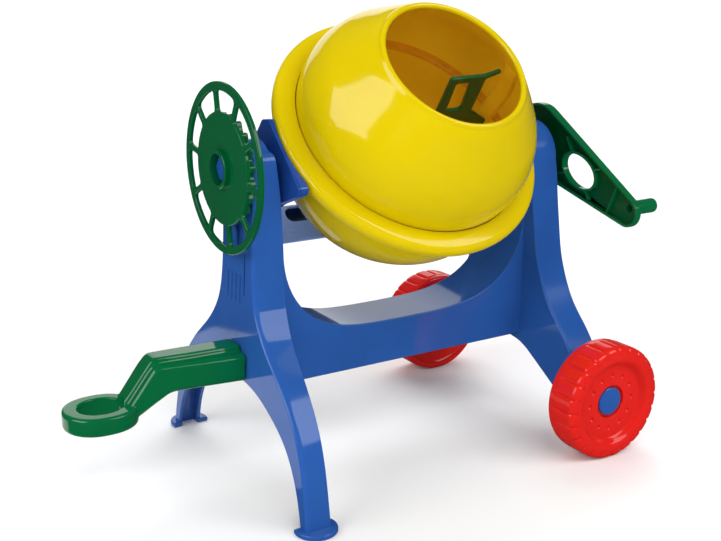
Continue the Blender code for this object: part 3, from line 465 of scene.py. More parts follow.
def slab(name, rim, arch, edge, low, high):
    """Half outline mirrored and stacked from low(z) to high, its rim rounded at low."""
    half = rim + arch
    part = [1.0 if z < 0.262 else 0.5 for _, z in rim] + [0.12] * len(arch)
    loop = both_sides(half)
    part = part + [f for f, (y, _) in reversed(list(zip(part, half))) if y > 1e-9]
    step = inset(loop, 0.0001)
    push = [((b[0] - a[0]) * 1e4, (b[1] - a[1]) * 1e4) for a, b in zip(loop, step)]
    bm = bmesh.new()
    rings = []
    for k in range(7):
        q = math.pi / 2 * k / 6
        by, depth = edge * (1 - math.sin(q)), edge * (1 - math.cos(q))
        ring = [(y + dy * by * f, z + dz * by * f, f) for (y, z), (dy, dz), f in zip(loop, push, part)]
        rings.append([bm.verts.new((low(z) + depth * f, y, z)) for y, z, f in ring])
    rings.append([bm.verts.new((high, y, z)) for y, z in loop])
    for a, b in zip(rings, rings[1:]):
        for i in range(len(a)):
            j = (i + 1) % len(a)
            bm.faces.new((a[i], a[j], b[j], b[i]))
    bm.faces.new(rings[0])
    bm.faces.new(list(reversed(rings[-1])))
    return from_bmesh(name, bm)


def inner_side(by):
    """Everything inwards of the left end frame's inner edge."""
    edge = [(x - by, z) for z, x in fair([(z, x) for z, x in LEFT_INNER], 6, 10)]
    return plate("inner_side", [edge + [(0.05, 0.32), (0.05, -0.02)]], -0.2, 0.2, 0.0, XZ)


def core(rim, floor):
    """Hollow behind the outer strip, open on the arch side, down to floor."""
    inner = inset(both_sides(rim + [(0.0, rim[-1][1])]), SHEET)
    half = [(y, z) for y, z in inner[:len(rim)] if z > floor]
    half = [(max(0.0, half[0][0]), half[0][1])] + half[1:]
    return both_sides(half + [(half[-1][0], floor)])


def saddle(rise, slope=0.0, steps=40):
    """Half of the beam's top: flat in the middle, upright at the column; slope lifts the part between."""
    turns = [math.radians(86.0) * i / steps for i in range(steps + 1)]
    return [(HALF_SPAN * math.sqrt(math.sin(q)), rise * (1 - math.cos(q)) + slope * math.sin(q) * math.cos(q) ** 2)
            for q in turns]


HOLLOW_TOP = [(0.1190, 0.0320), (0.1150, 0.0280), (0.1100, 0.0205), (0.1030, 0.0140), (0.0930, 0.0080),
              (0.0760, 0.0030), (0.0400, -0.0012)]


def frame_moulding():
    body = slab("frame_moulding", left_rim, left_arch, 0.0048, left_outer_x, -0.0600)
    cut(body, inner_side(0.0))
    right = slab("right_slab", right_rim, right_arch, 0.0030, lambda z: 0.1810, RIGHT_X)
    unite(body, right)
    left, right = saddle(0.0740), saddle(0.0840, 0.0085)
    outline = [(0.0535 + u, 0.125 + h) for u, h in right] + [(0.0535 + 0.133, 0.125 + right[-1][1] + 0.002)] \
        + [(0.0535 + 0.133, 0.0860), (0.0535 - 0.144, 0.0860), (0.0535 - 0.144, 0.1080), (0.0535 - 0.136, 0.1500)] \
        + [(0.0535 - 0.133, 0.125 + left[-1][1] + 0.002)] + [(0.0535 - u, 0.125 + h) for u, h in reversed(left) if u > 1e-9]
    unite(body, plate("beam", [outline], -0.0280, 0.0280, 0.0011, XZ))
    for side in (-1, 1):
        unite(body, rod("axle_boss", 0.0115, (AXLE_X, side * 0.0905, WHEEL_R), (AXLE_X, side * 0.1155, WHEEL_R)))
        turns = [math.radians(-16.0 + 212.0 * i / 30) for i in range(31)]
        pad = [(PAD_X + PAD_R * math.cos(q), side * (PAD_Y + PAD_R * math.sin(q))) for q in turns]
        unite(body, plate("pad", [pad], 0.0, PAD_T, 0.0013, XY))
    # hollows, open downwards
    hollow = slab("left_core", core(left_rim, -0.0080)[:len(left_rim) + 1], [(0.0, -0.0080)], 0.0006,
                  lambda z: left_outer_x(z) + SHEET, -0.0600)
    cut(hollow, inner_side(SHEET), rod("boss", 0.0180, (-0.12, 0, ZT), (-0.05, 0, ZT)))
    cut(body, hollow)
    hollow = plate("right_core", [core(right_rim, 0.0420)], 0.1810 + SHEET, RIGHT_X - SHEET, 0.0006, YZ)
    cut(hollow, rod("boss", 0.0180, (0.17, 0, ZT), (0.22, 0, ZT)),
        rod("axle", 0.0115, (AXLE_X, -0.13, WHEEL_R), (AXLE_X, 0.13, WHEEL_R)))
    cut(body, hollow)
    end = 0.0535 + HALF_SPAN - 0.0003 - SHEET
    channel = [(end, 0.0700), (end, 0.1570)] + [(0.0535 + u, 0.125 + h) for u, h in HOLLOW_TOP] \
        + [(0.0535, 0.1222)] + [(0.0535 - u, 0.125 + h) for u, h in reversed(HOLLOW_TOP)] \
        + [(-0.0725, 0.1570), (-0.0732, 0.1500), (-0.0810, 0.1080), (-0.0830, 0.0700)]
    cut(body, plate("channel", [channel], -0.0254, 0.0254, 0.0008, XZ))
    # bearings, axle bores, vent grooves, socket of the drawbar
    for x0, x1 in ((-0.14, -0.06), (0.17, 0.23)):
        cut(body, rod("bore", TRUNNION_R + 0.0003, (x0, 0, ZT), (x1, 0, ZT)))
    for side in (-1, 1):
        cut(body, rod("bore", 0.0078, (AXLE_X, side * 0.0940, WHEEL_R), (AXLE_X, side * 0.16, WHEEL_R)))
    for k in range(5):
        half, z0, z1, deep = (0.0007, 0.1570, 0.1810, 0.0013) if k else (0.0011, 0.1650, 0.2000, 0.0019)
        y = -0.0150 + 0.0075 * k
        groove = rounded([(y - half, z0), (y + half, z0), (y + half, z1), (y - half, z1)], 0.0006, 3)
        tool = plate("vent", [groove], 0.0, 0.02, 0.0, YZ)
        for v in tool.data.vertices:
            v.co.x += left_outer_x(v.co.z) - 0.02 + deep
        cut(body, tool)
    socket = [(-0.0113, 0.1007), (0.0113, 0.1007), (0.0113, 0.1173), (-0.0113, 0.1173)]
    cut(body, plate("socket", [socket], -0.1300, -0.0950, 0.0, YZ))
    body.data.transform(SLIDE)
    dress(body, BLUE, "frame", ("left_end_frame", "right_end_frame", "cross_beam"), 34.0, True)
    # faces of the right end frame turned to the front or back take the duller blue copy: painted shade where the front
    # lamp's reflection would show
    body.data.materials.append(BLUE_PAINTED_SHADE)
    for face in body.data.polygons:
        if face.center.x > 0.1815 + SHIFT and abs(face.normal.y) > 0.3:
            face.material_index = 1
    return body


# ----------------------------------------------------------------- drawbar --
def drawbar():
    def section(x, z0, z1, half, spine):
        shoulder = z1 - 0.0052
        ring = [(-half * 0.90, z0), (half * 0.90, z0), (half, z0 + 0.0030), (half, shoulder - 0.0022),
                (half * 0.84, shoulder), (spine * 1.12, shoulder + 0.0004), (spine * 0.95, z1), (-spine * 0.95, z1),
                (-spine * 1.12, shoulder + 0.0004), (-half * 0.84, shoulder), (-half, shoulder - 0.0022),
                (-half, z0 + 0.0030)]
        radii = [0.0015, 0.0015, 0.0015, 0.0024, 0.0024, 0.0016, 0.0020, 0.0020, 0.0016, 0.0024, 0.0024, 0.0015]
        return [(x, y, z) for y, z in rounded(ring, radii, 3)]

    marks = [(-0.1100, 0.0935, 0.1215, 0.0225, 0.0105), (-0.1450, 0.0945, 0.1222, 0.0200, 0.0100),
             (-0.1722, 0.0945, 0.1230, 0.0176, 0.0095), (-0.1842, 0.0878, 0.1233, 0.0168, 0.0090),
             (-0.2020, 0.0775, 0.0999, 0.0162, 0.0083), (-0.2088, 0.0744, 0.0912, 0.0160, 0.0080),
             (-0.2130, 0.0742, 0.0885, 0.0150, 0.0075)]
    # straight runs with short bends
    track = []
    for a, b in zip(marks, marks[1:]):
        count = max(2, round((a[0] - b[0]) / 0.0015))
        track += [tuple(u + (v - u) * k / count for u, v in zip(a, b)) for k in range(count)]
    track.append(marks[-1])
    for _ in range(6):
        track = [track[0]] + [tuple((u + 2 * v + w) / 4 for u, v, w in zip(track[i - 1], track[i], track[i + 1]))
                              for i in range(1, len(track) - 1)] + [track[-1]]
    rings = [section(*m) for m in track]
    # the frame end stands just off the leaning face
    rings[0] = [(left_outer_x(z) - 0.0007, y, z) for _, y, z in rings[0]]
    bm = bmesh.new()
    verts = [[bm.verts.new(p) for p in ring] for ring in rings]
    for a, b in zip(verts, verts[1:]):
        for i in range(len(a)):
            j = (i + 1) % len(a)
            bm.faces.new((a[i], a[j], b[j], b[i]))
    bm.faces.new(verts[0])
    bm.faces.new(list(reversed(verts[-1])))
    bar = from_bmesh("drawbar_bar", bm)
    eye = (-0.2265, 0.0)
    long_eye = [(eye[0] + math.copysign(abs(math.cos(q)) ** 0.86, math.cos(q)) * 0.0300, math.sin(q) * 0.0276)
                for q in (2 * math.pi * k / 96 for k in range(96))]
    unite(bar, plate("eye", [long_eye], 0.0738, 0.0888, 0.0026, XY))
    cut(bar, plate("hole", [ellipse(0.0186, 0.0168, 72, (-0.2262, 0.0))], 0.0600, 0.1300, 0.0, XY))
    voxel(bar, 0.0009)
    relax(bar, 2)
    tongue = [(-0.0110, 0.1010), (0.0110, 0.1010), (0.0110, 0.1170), (-0.0110, 0.1170)]
    unite(bar, plate("tongue", [tongue], -0.1200, -0.0925, 0.0006, YZ))
    cut(bar, rod("pin_hole", 0.0028, (-0.1010, -0.05, 0.1090), (-0.1010, 0.05, 0.1090), 24))
    bar.data.transform(SLIDE)
    return dress(bar, GREEN, "frame", ("drawbar",), 50.0)


# ------------------------------------------------------------------- drum ---
def paint_inside_bounce_and_shadow(shell):
    """Paint the inside of the shell: orange for the warm light bounced about in the drum, a darker band at the seam
    step for its shadow.
    """
    shell.data.materials.append(DRUM_INSIDE_PAINTED_BOUNCE)
    shell.data.materials.append(DRUM_SEAM_PAINTED_SHADOW)
    back = TILT.inverted()
    turn = back.to_3x3()
    for face in shell.data.polygons:
        at, normal = back @ face.center, turn @ face.normal
        away = Vector((at.x, at.y, 0.0))
        inward = away.dot(normal) < -0.1 * away.length or (normal.z > 0.5 and at.z < -0.05)
        if inward and at.z < 0.1130 and away.length > 0.006:
            # inner faces get the painted warm bounce light; the band at the seam step gets the painted shadow
            face.material_index = 2 if 0.0215 < at.z < 0.0312 else 1


def drum():
    low_out = spline_through([(0.0180, -0.0955), (0.0300, -0.0953), (0.0450, -0.0900), (0.0610, -0.0785),
                              (0.0760, -0.0615), (0.0880, -0.0470), (0.0970, -0.0330), (0.1025, -0.0195),
                              (0.1044, -0.0060), (0.1046, 0.0080)], 6)
    belt = spline_through([(0.1163, 0.0203), (0.1184, 0.0197), (0.1206, 0.0199), (0.1221, 0.0211), (0.1228, 0.0232),
                           (0.1231, 0.0255), (0.1228, 0.0277), (0.1217, 0.0298), (0.1200, 0.0313), (0.1178, 0.0322),
                           (0.1145, 0.0327), (0.1108, 0.0329), (0.1072, 0.0328)], 5)
    seam = rounded([(0.1072, 0.0328), (0.1054, 0.0328), (0.1054, 0.0256), (0.1020, 0.0256), (0.1009, 0.0246)],
                   0.0006, 3, closed=False)[1:]
    low_in = spline_through([(0.1008, 0.0220), (0.1014, 0.0165), (0.1017, 0.0080), (0.1017, -0.0060),
                             (0.0999, -0.0185), (0.0946, -0.0315), (0.0857, -0.0448), (0.0738, -0.0592),
                             (0.0588, -0.0762), (0.0432, -0.0872), (0.0290, -0.0927), (0.0180, -0.0927)], 5)
    profile = [(0.0046, -0.0955)] + low_out + [(0.1046, 0.0240), (0.1163, 0.0240)] + belt + seam + low_in \
        + [(0.0046, -0.0927)]
    lower = lathe("drum_bowl", profile, 144, TILT)
    dress(lower, YELLOW, "drum", ("drum_lower_shell",))
    paint_inside_bounce_and_shadow(lower)

    up_out = spline_through([(0.1045, 0.0310), (0.1054, 0.0360), (0.1059, 0.0420), (0.1060, 0.0480), (0.1048, 0.0580),
                             (0.1012, 0.0690), (0.0955, 0.0800), (0.0878, 0.0900), (0.0795, 0.1000),
                             (0.0715, 0.1095), (0.0660, 0.1150)], 6)
    # the mouth's rolled lip
    lip = [(0.0626 + 0.0026 * math.cos(q), 0.1159 + 0.0026 * math.sin(q))
           for q in (math.radians(d) for d in range(20, 221, 20))]
    up_in = spline_through([(0.0640, 0.1115), (0.0692, 0.1070), (0.0772, 0.0978), (0.0856, 0.0878), (0.0931, 0.0780),
                            (0.0986, 0.0674), (0.1018, 0.0570), (0.1030, 0.0480), (0.1028, 0.0400), (0.1017, 0.0310)],
                           5)
    profile = [(0.1045, 0.0259)] + up_out + lip + up_in + [(0.1017, 0.0259)]
    upper = lathe("drum_cone", profile, 144, TILT)
    dress(upper, YELLOW, "drum", ("drum_upper_shell",))
    paint_inside_bounce_and_shadow(upper)

    # low mixing ribs along the wall
    wall = spline_through([(0.1016, 0.0060), (0.1017, 0.0200), (0.1019, 0.0310), (0.1029, 0.0400), (0.1031, 0.0480),
                           (0.1019, 0.0570), (0.0987, 0.0674), (0.0932, 0.0780), (0.0890, 0.0832)], 5)
    section = [(-4.9, 0.0), (-4.5, 0.75), (-3.9, 1.0), (-2.0, 1.0), (0.0, 1.0), (2.0, 1.0), (3.9, 1.0), (4.5, 0.75),
               (4.9, 0.0)]
    bm = bmesh.new()
    for turn in (11.0, 191.0):
        rows = []
        for k, (r, a) in enumerate(wall):
            f = k / (len(wall) - 1)
            tall = 0.0036 * min(1.0, f / 0.08, (1 - f) / 0.22)
            inner = [(r - tall * h, turn + d) for d, h in section]
            outer = [(r + 0.0012, turn + d) for d, _ in reversed(section)]
            rows.append([bm.verts.new((rr * math.cos(math.radians(q)), rr * math.sin(math.radians(q)), a))
                         for rr, q in inner + outer])
        for one, two in zip(rows, rows[1:]):
            for i in range(len(one)):
                j = (i + 1) % len(one)
                bm.faces.new((one[i], one[j], two[j], two[i]))
        bm.faces.new(rows[0])
        bm.faces.new(list(reversed(rows[-1])))
    bm.transform(TILT)
    ribs = from_bmesh("drum_ribs", bm)
    # the ribs take the inside's orange: painted warm bounce light
    dress(ribs, DRUM_INSIDE_PAINTED_BOUNCE, "drum")

    loop = [(0.0345, 0.0260), (0.0245, 0.0790), (0.0600, 0.0810), (0.0735, 0.0872), (0.0745, 0.0832),
            (0.0625, 0.0765), (0.0715, 0.0330), (0.0930, 0.0190), (0.0990, 0.0150), (0.0990, 0.0030),
            (0.0600, 0.0080)]
    hole = [(0.0425, 0.0345), (0.0335, 0.0722), (0.0480, 0.0730), (0.0580, 0.0360)]
    paddle = plate("mixing_loop", [rounded(loop, 0.0025, 4), rounded(hole, 0.0020, 4)], 0.01325, 0.01675, 0.0009, XZ,
                   TILT)
    dress(paddle, GREEN, "drum", ("mixing_paddle",), 32.0, True)


# --------------------------------------------------------------- handwheel --
HAND_R, HAND_T, FRONT = 0.0698, 0.0034, -0.1150 - 0.0535


def handwheel():
    windows = []
    for i in range(10):
        mid, half = 2 * math.pi * (i + 0.5) / 10, math.pi / 10
        corners, radii = [], []
        for r, sign in ((0.66 * HAND_R, 1), (0.90 * HAND_R, -1)):
            span = half - 0.0024 / r
            for f in (-1.0, -0.6, -0.2, 0.2, 0.6, 1.0):
                ang = mid + span * f * sign
                corners.append((r * math.cos(ang), r * math.sin(ang)))
                radii.append(0.0036 if abs(f) == 1.0 else 0.0)
        windows.append(rounded(corners, radii, 5))
    wheel = plate("tipping_wheel", [circle(HAND_R, 160)] + windows, FRONT, FRONT + HAND_T, 0.0009, YZ, TILT)
    scallop = [((0.0430 + 0.0022 * math.cos(20 * a)) * math.cos(a), (0.0430 + 0.0022 * math.cos(20 * a)) * math.sin(a))
               for a in (2 * math.pi * i / 240 for i in range(240))]
    unite(wheel, plate("ring", [scallop, circle(0.0380, 120)], FRONT + HAND_T - 0.0008, FRONT + HAND_T + 0.0056, 0.0010,
                       YZ, TILT))
    unite(wheel, rod("boss", 0.0170, (FRONT + HAND_T - 0.001, 0, 0), (left_outer_x(ZT) - 0.0535 - 0.0012, 0, 0), 72,
                     0.0006, TILT))
    unite(wheel, rod("collar", 0.0158, (FRONT - 0.0042, 0, 0), (FRONT + 0.001, 0, 0), 72, 0.0012, TILT))
    cut(wheel, rod("bore", TRUNNION_R + 0.0003, (FRONT - 0.02, 0, 0), (FRONT + 0.05, 0, 0), 72, 0.0, TILT))
    # the whole handwheel takes the darker green copy: painted shade
    return dress(wheel, HANDWHEEL_PAINTED_SHADE, "cradle", ("handwheel",), 32.0, True)


# ------------------------------------------------------------------ cradle --
ARM_IN, ARM_OUT = 0.1240, 0.1268


def cradle():
    lower = [(0.0240, 0.0290), (0.0320, 0.0190), (0.0300, -0.0050), (0.0220, -0.0400), (0.0200, -0.1040),
             (-0.0200, -0.1040), (-0.0240, -0.0400)]
    bends = [0.006, 0.006, 0.02, 0.03, 0.007, 0.007, 0.03]
    arms = {-1: rounded([(-0.0470, 0.0290)] + lower + [(-0.0330, -0.0110), (-0.0480, 0.0220)],
                        [0.005] + bends + [0.02, 0.004], 5),
            1: rounded([(-0.0250, 0.0250)] + lower + [(-0.0300, -0.0110)], [0.008] + bends + [0.02], 5)}
    body = None
    for side, outline in arms.items():
        x0, x1 = sorted((side * ARM_IN, side * ARM_OUT))
        arm = plate("cradle_bracket", [outline], x0, x1, 0.0008, YZ, TILT)
        # rim that stiffens the arm, cut back round the belt ring
        x0, x1 = sorted((side * 0.1175, side * (ARM_OUT - 0.0004)))
        rim = plate("rim", [outline, inset(outline, 0.0024)], x0, x1, 0.0006, YZ, TILT)
        cut(rim, rod("swing", 0.1246, (0, 0, 0.0120), (0, 0, 0.0600), 96, 0.0, TILT))
        unite(arm, rim)
        body = arm if body is None else unite(body, arm)
    slots = [rounded([(s * 0.0445 - 0.0242, 0.0010), (s * 0.0445 + 0.0242, 0.0010), (s * 0.0445 + 0.0242, 0.0165),
                      (s * 0.0445 - 0.0242, 0.0165)], 0.0074, 8) for s in (-1, 1)]
    bar = [(-0.1255, -0.0192), (0.1255, -0.0192), (0.1255, 0.0192), (-0.1255, 0.0192)]
    unite(body, plate("bar", [bar] + slots, -0.1037, -0.1006, 0.0007, XY, TILT))
    # box under the bar, open below the nut
    box = rounded([(-0.0790, -0.0128), (0.0790, -0.0128), (0.0790, 0.0188), (-0.0790, 0.0188)], 0.0040, 5)
    unite(body, plate("box_wall", [box, inset(box, 0.0022)], -0.1148, -0.1030, 0.0006, XY, TILT))
    unite(body, plate("box_floor", [inset(box, 0.0004), circle(0.0100, 48)], -0.1150, -0.1128, 0.0006, XY, TILT))
    # round journals; the left one ends in a hexagon inside the wheel's hub
    end = -0.1150 + 0.0005 - 0.0535
    unite(body, rod("journal", TRUNNION_R, (end + 0.0045, 0, 0), (-ARM_IN - 0.001, 0, 0), 72, 0.0004, TILT))
    unite(body, plate("hexagon", [rounded(circle(0.0108, 6, phase=0.30), 0.0008, 3)], end, end + 0.006, 0.0006, YZ, TILT))
    unite(body, rod("journal", TRUNNION_R, (ARM_IN + 0.001, 0, 0), (RIGHT_X + 0.0008 - 0.0535, 0, 0), 72, 0.0004, TILT))
    cut(body, rod("bore", 0.0063, (0.10, 0, 0), (0.20, 0, 0), 48, 0.0, TILT))
    cut(body, rod("bore", 0.0045, (0, 0, -0.13), (0, 0, -0.08), 36, 0.0, TILT))
    body.name = "cradle_bracket"
    dress(body, NAVY, "cradle", ("cradle",), 32.0, True)
    # the bar's top and front faces take the pale copy: painted reflection of the pale surroundings on the navy bar
    body.data.materials.append(NAVY_PAINTED_REFLECTION)
    back = TILT.inverted()
    turn = back.to_3x3()
    for face in body.data.polygons:
        at, normal = back @ face.center, turn @ face.normal
        if -0.1045 < at.z < -0.0995 and abs(at.x) < 0.1235 and (normal.z > 0.2 or normal.y < -0.4):
            face.material_index = 1
    return body


# ------------------------------------------------------------------- crank --
def crank():
    c0, c1, ct = (x - 0.0535 for x in (0.2157, 0.2245, 0.2512))
    length, hub, tip, angle = 0.1287, 0.0322, 0.0135, math.radians(23.4)
    run = Vector((-math.cos(angle), -math.sin(angle)))
    across = Vector((-run.y, run.x))
    leaning = math.asin((hub - tip) / length)

    def outline(by, steps=24):
        pts = []
        for centre, radius, start, stop in (
                (Vector((0, 0)), hub - by, math.pi / 2 - leaning, 1.5 * math.pi + leaning),
                (run * length, tip - by, -math.pi / 2 + leaning, math.pi / 2 - leaning)):
            for i in range(steps + 1):
                ang = start + (stop - start) * i / steps
                pts.append(tuple(centre + radius * (math.cos(ang) * run + math.sin(ang) * across)))
        return pts

    hole = run * 0.0615
    end = run * length - across * 0.0035

    def oblong(a, b):
        return [tuple(hole + run * a * math.cos(q) + across * b * math.sin(q))
                for q in (2 * math.pi * k / 72 for k in range(72))]

    arm = plate("crank_arm", [outline(0.0), oblong(0.0215, 0.0138)], c1 - 0.0026, c1, 0.0008, YZ, UPRIGHT)
    unite(arm, plate("wall", [outline(0.0), outline(0.0024)], c0, c1 - 0.0006, 0.0007, YZ, UPRIGHT))
    unite(arm, plate("collar", [oblong(0.0240, 0.0163), oblong(0.0215, 0.0138)], c0 + 0.0010, c1 - 0.0003, 0.0007, YZ,
                     UPRIGHT))
    unite(arm, rod("boss", 0.0115, (c0 + 0.0010, 0, 0), (c1 - 0.0012, 0, 0), 48, 0.0006, UPRIGHT))

    def rib(a, b, low, thick=0.0018):
        a, b = Vector(a), Vector(b)
        d = (b - a).normalized()
        n = Vector((-d.y, d.x)) * thick / 2
        return plate("rib", [[tuple(a - n), tuple(b - n), tuple(b + n), tuple(a + n)]], low, c1 - 0.0010, 0.0005, YZ, UPRIGHT,
                     1)

    # short ribs from the collar to the walls, one across near the tip
    for turn, reach in ((36.0, 0.0285), (-36.0, 0.0285), (144.0, 0.0345), (-144.0, 0.0345)):
        q = math.radians(turn)
        out = run * math.cos(q) + across * math.sin(q)
        unite(arm, rib(hole + out * 0.0192, hole + out * reach, c0 + 0.0008))
    unite(arm, rib(run * 0.1090 - across * 0.0150, run * 0.1090 + across * 0.0150, c0 + 0.0010))
    # the arm gets shallower towards the tip
    back = UPRIGHT.inverted()
    for v in arm.data.vertices:
        p = back @ v.co
        f = max(0.0, min(1.0, (run.x * p.y + run.y * p.z) / length))
        if p.x < c1 - 0.0030:
            v.co.x += (c1 - 0.0030 - p.x) * 0.46 * f
    arm.data.update()
    unite(arm, rod("pin", 0.0064, (c1 - 0.0010, end.x, end.y), (ct, end.x, end.y), 48, 0.0022, UPRIGHT))
    cut(arm, rod("pin_core", 0.0036, (c0 - 0.01, end.x, end.y), (ct - 0.0025, end.x, end.y), 36, 0.0, UPRIGHT))
    cut(arm, rod("shaft_bore", 0.0063, (c0 - 0.01, 0, 0), (c1 - 0.0036, 0, 0), 48, 0.0, UPRIGHT))
    cut(arm, rod("screw_bore", 0.0021, (c0 - 0.01, 0, 0), (c1 + 0.01, 0, 0), 24, 0.0, UPRIGHT))
    arm.name = "crank_arm"
    dress(arm, GREEN, "crank", ("crank",), 32.0, True)
    arm.data.materials.append(GREEN_PAINTED_SHADE)
    # the arm's inner floor, facing the column, takes the darker green: painted shade
    for face in arm.data.polygons:
        if face.normal.x < -0.6 and face.center.x > XD + c1 - 0.0031:
            face.material_index = 1
    return arm


# ------------------------------------------------------------------ wheels --
def wheels():
    lugs = 24

    def tread(r, h, ang):
        """Shallow gaps between the lugs, across the outer part of the tread."""
        if r < 0.0455 or h < 0.1225:
            return r, h
        p = (ang * lugs / (2 * math.pi)) % 1.0
        d = abs(p - 0.5)
        gap = max(0.0, min(1.0, (d - 0.39) / 0.06))
        gap = gap * gap * (3 - 2 * gap)
        side = max(0.0, min(1.0, (h - 0.1225) / 0.0012))
        depth = 0.0011 * gap * side
        return r - depth, h - (depth * 0.5 if h > 0.1450 else 0.0)

    def face(r, h, ang):
        r, h = tread(r, h, ang)
        if 0.021 < r < 0.029 and h > 0.1415:
            k = round(ang * 12 / (2 * math.pi)) * 2 * math.pi / 12
            dx = math.hypot(r * math.cos(ang) - 0.0250 * math.cos(k), r * math.sin(ang) - 0.0250 * math.sin(k))
            if dx < 0.0021:
                h -= 0.0016 * (1 - (dx / 0.0021) ** 2)
        return r, h

    outer = spline_through([(0.0470, 0.1165), (0.0490, 0.1165), (0.0508, 0.1172), (0.0518, 0.1188), (0.0520, 0.1210)], 3) \
        + [(0.0520, 0.1222), (0.0521, 0.1226), (0.0524, 0.1232), (0.0524, 0.1260), (0.0524, 0.1300), (0.0524, 0.1350),
           (0.0524, 0.1400)] \
        + spline_through([(0.0524, 0.1430), (0.0521, 0.1448), (0.0512, 0.1464), (0.0498, 0.1476), (0.0480, 0.1483),
                          (0.0460, 0.1487), (0.0430, 0.1489), (0.0405, 0.1486), (0.0386, 0.1476), (0.0371, 0.1460),
                          (0.0355, 0.1439), (0.0342, 0.1427), (0.0326, 0.1424)], 4)
    dish = [(0.0320 - 0.0005 * i, 0.1424) for i in range(30)] \
        + rounded([(0.0172, 0.1424), (0.0152, 0.1426), (0.0152, 0.1390)], 0.0008, 4, closed=False)[1:]
    # closed inner side, a little behind the rim
    back = [(0.0080, 0.1390), (0.0080, 0.1167), (0.0082, 0.1165), (0.0128, 0.1165), (0.0133, 0.1168), (0.0137, 0.1178),
            (0.0144, 0.1192), (0.0156, 0.1197)] + [(0.0170 + 0.0030 * i, 0.1198) for i in range(9)] \
        + [(0.0430, 0.1196), (0.0446, 0.1190), (0.0457, 0.1178), (0.0463, 0.1168)]
    for side, place in ((-1, "front"), (1, "rear")):
        axis = SLIDE @ Matrix.Translation((AXLE_X, 0, WHEEL_R)) @ Matrix.Rotation(-side * math.pi / 2, 4, "X")
        wheel = lathe("road_wheel_%s" % place, outer + dish + back, 288, axis, face)
        dress(wheel, RED, "wheel_%s" % place, ("wheel_%s" % place,), 32.0)
        head = [(0.0, 0.1423), (0.0060, 0.14228), (0.0100, 0.1422), (0.0116, 0.1420), (0.0124, 0.1416), (0.0128, 0.1411),
                (0.0128, 0.1400), (0.0124, 0.1394), (0.0075, 0.1394), (0.0075, 0.0956), (0.0070, 0.0950), (0.0, 0.0950)]
        pin = lathe("wheel_pin_cap_%s" % place, head, 72, axis)
        dress(pin, BLUE, "frame", ("wheel_pin_%s" % place,), 32.0)


frame_moulding()
drawbar()
drum()
handwheel()
cradle()
crank()
wheels()

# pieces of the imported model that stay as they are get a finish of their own
for names, mat in ((("crown_gear", "drive_pinion", "thrust_washer"), WHITE),
                   (("detent_spring",), BLUE),
                   (("crank_screw", "crank_shaft", "drawbar_pin", "drum_spindle", "spindle_nut",
                     "frame_screw_left_front", "frame_screw_left_rear", "frame_screw_right_front",
                     "frame_screw_right_rear"), STEEL)):
    for name in names:
        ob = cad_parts[name]
        ob.data.materials.clear()
        ob.data.materials.append(mat)


# ------------------------------------------------------------------- studio --
NEAR_AHEAD, NEAR_ASIDE = (-0.12, 0.20), (-0.46, -0.10)


def pale_floor():
    """Sheet that runs up behind the object in one sweep."""
    path = [(-3.0, 0.0), (1.2, 0.0)] + [(1.2 + 1.2 * math.sin(q), 1.2 - 1.2 * math.cos(q))
                                        for q in (math.pi / 2 * k / 16 for k in range(1, 17))] + [(2.4, 4.0)]
    heading = Vector((math.sin(0.5621), math.cos(0.5621), 0))
    aside = Vector((heading.y, -heading.x, 0))
    across = (-5.0, *NEAR_ASIDE, 5.0)
    path = [(-3.0, 0.0)] + [(d, 0.0) for d in NEAR_AHEAD] + path[1:]
    sheets = []
    for name, near in (("pale_floor", False), ("pale_floor_near", True)):
        bm = bmesh.new()
        rows = [[bm.verts.new(heading * d + aside * w + Vector((0, 0, z))) for w in across] for d, z in path]
        for i, (a, b) in enumerate(zip(rows, rows[1:])):
            for k in range(len(across) - 1):
                if (i == 1 and k == 1) == near:
                    bm.faces.new((a[k], a[k + 1], b[k + 1], b[k]))
        bmesh.ops.delete(bm, geom=[v for v in bm.verts if not v.link_faces], context="VERTS")
        mesh = bpy.data.meshes.new(name)
        bm.to_mesh(mesh)
        bm.free()
        mesh.shade_smooth()
        sheets.append(new_object(name, mesh))
    mat = bpy.data.materials.new("pale_paper")
    mat.use_nodes = True
    nodes, links = mat.node_tree.nodes, mat.node_tree.links
    bsdf = nodes["Principled BSDF"]
    bsdf.inputs["Roughness"].default_value = 0.75
    bsdf.inputs["Specular IOR Level"].default_value = 0.2
    coords = nodes.new("ShaderNodeTexCoord")
    noise = nodes.new("ShaderNodeTexNoise")
    noise.inputs["Scale"].default_value = 3.0
    links.new(coords.outputs["Object"], noise.inputs["Vector"])
    tint = nodes.new("ShaderNodeValToRGB")
    tint.color_ramp.elements[0].color = (0.90, 0.90, 0.90, 1)
    tint.color_ramp.elements[1].color = (0.93, 0.93, 0.93, 1)
    links.new(noise.outputs["Fac"], tint.inputs["Fac"])
    links.new(tint.outputs["Color"], bsdf.inputs["Base Color"])
    # only the part of the sheet next to the object mirrors in its glossy sides
    for ob, mirrored in zip(sheets, (False, True)):
        ob.data.materials.append(mat)
        ob.visible_glossy = mirrored


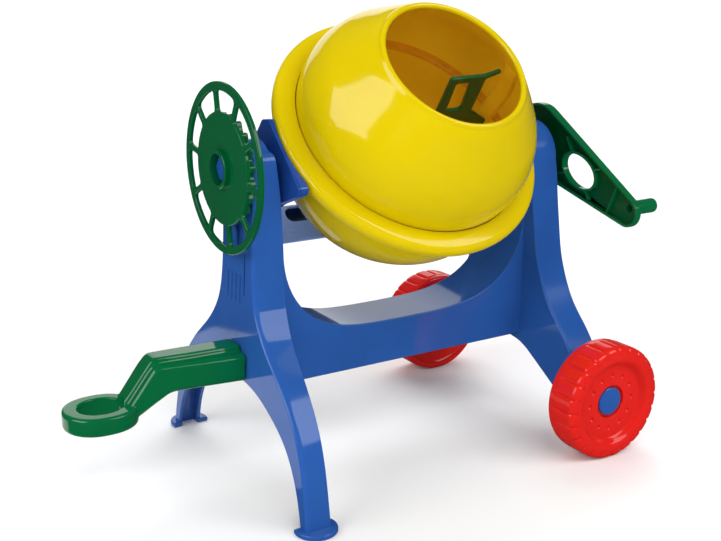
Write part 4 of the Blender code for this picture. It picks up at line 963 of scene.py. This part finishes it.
def lamp(name, place, target, size, power, tall=None, mirrored=True):
    light = bpy.data.lights.new(name, "AREA")
    light.shape = "RECTANGLE"
    light.size = size
    light.size_y = tall or size
    light.energy = power
    ob = bpy.data.objects.new(name, light)
    bpy.context.scene.collection.objects.link(ob)
    ob.location = place
    ob.rotation_euler = (Vector(target) - Vector(place)).to_track_quat("-Z", "Y").to_euler()
    ob.visible_glossy = mirrored
    return ob


pale_floor()
lamp("key", (-1.55, -0.15, 1.05), (0.0, 0.0, 0.25), 1.45, 19.0, 1.10)
lamp("front", (1.08, -1.51, 1.61), (0.0, 0.0, 0.15), 1.3, 19.0, 1.3)
lamp("fill", (-0.80, -1.80, 0.75), (0.0, 0.0, 0.25), 1.6, 9.0, 0.8, False)
lamp("overhead", (-0.25, -1.42, 1.78), (0.0, 0.0, 0.25), 1.4, 20.5, 1.0, False)
lamp("top_back", (0.80, 1.25, 2.3), (0.55, 0.7, 0.0), 2.5, 40.0, 1.5, False)
lamp("wall", (0.95, 2.05, 0.85), (0.0, 0.0, 0.25), 2.4, 9.8, 1.1)
world = bpy.data.worlds.new("studio")
world.use_nodes = True
world.node_tree.nodes["Background"].inputs["Color"].default_value = (1.0, 1.0, 1.0, 1.0)
world.node_tree.nodes["Background"].inputs["Strength"].default_value = 0.055
bpy.context.scene.world = world
bpy.context.scene.view_settings.view_transform = "Standard"

camera = bpy.data.cameras.new("camera")
camera.lens = 1103.1176 * 36.0 / 721.0
camera.sensor_width = 36.0
camera.sensor_fit = "HORIZONTAL"
camera.clip_start = 0.05
cam = bpy.data.objects.new("camera", camera)
bpy.context.scene.collection.objects.link(cam)
yaw, pitch, roll = 0.5621, 0.2765, 0.0056
ahead = Vector((math.sin(yaw) * math.cos(pitch), math.cos(yaw) * math.cos(pitch), -math.sin(pitch)))
right = Vector((math.cos(yaw), -math.sin(yaw), 0.0))
up = right.cross(ahead)
right2 = math.cos(roll) * right + math.sin(roll) * up
up2 = -math.sin(roll) * right + math.cos(roll) * up
pose = Matrix((right2, up2, -ahead)).transposed().to_4x4()
pose.translation = Vector((-0.48245, -0.7979, 0.4328))
cam.matrix_world = pose
bpy.context.scene.camera = cam

bpy.context.view_layer.update()
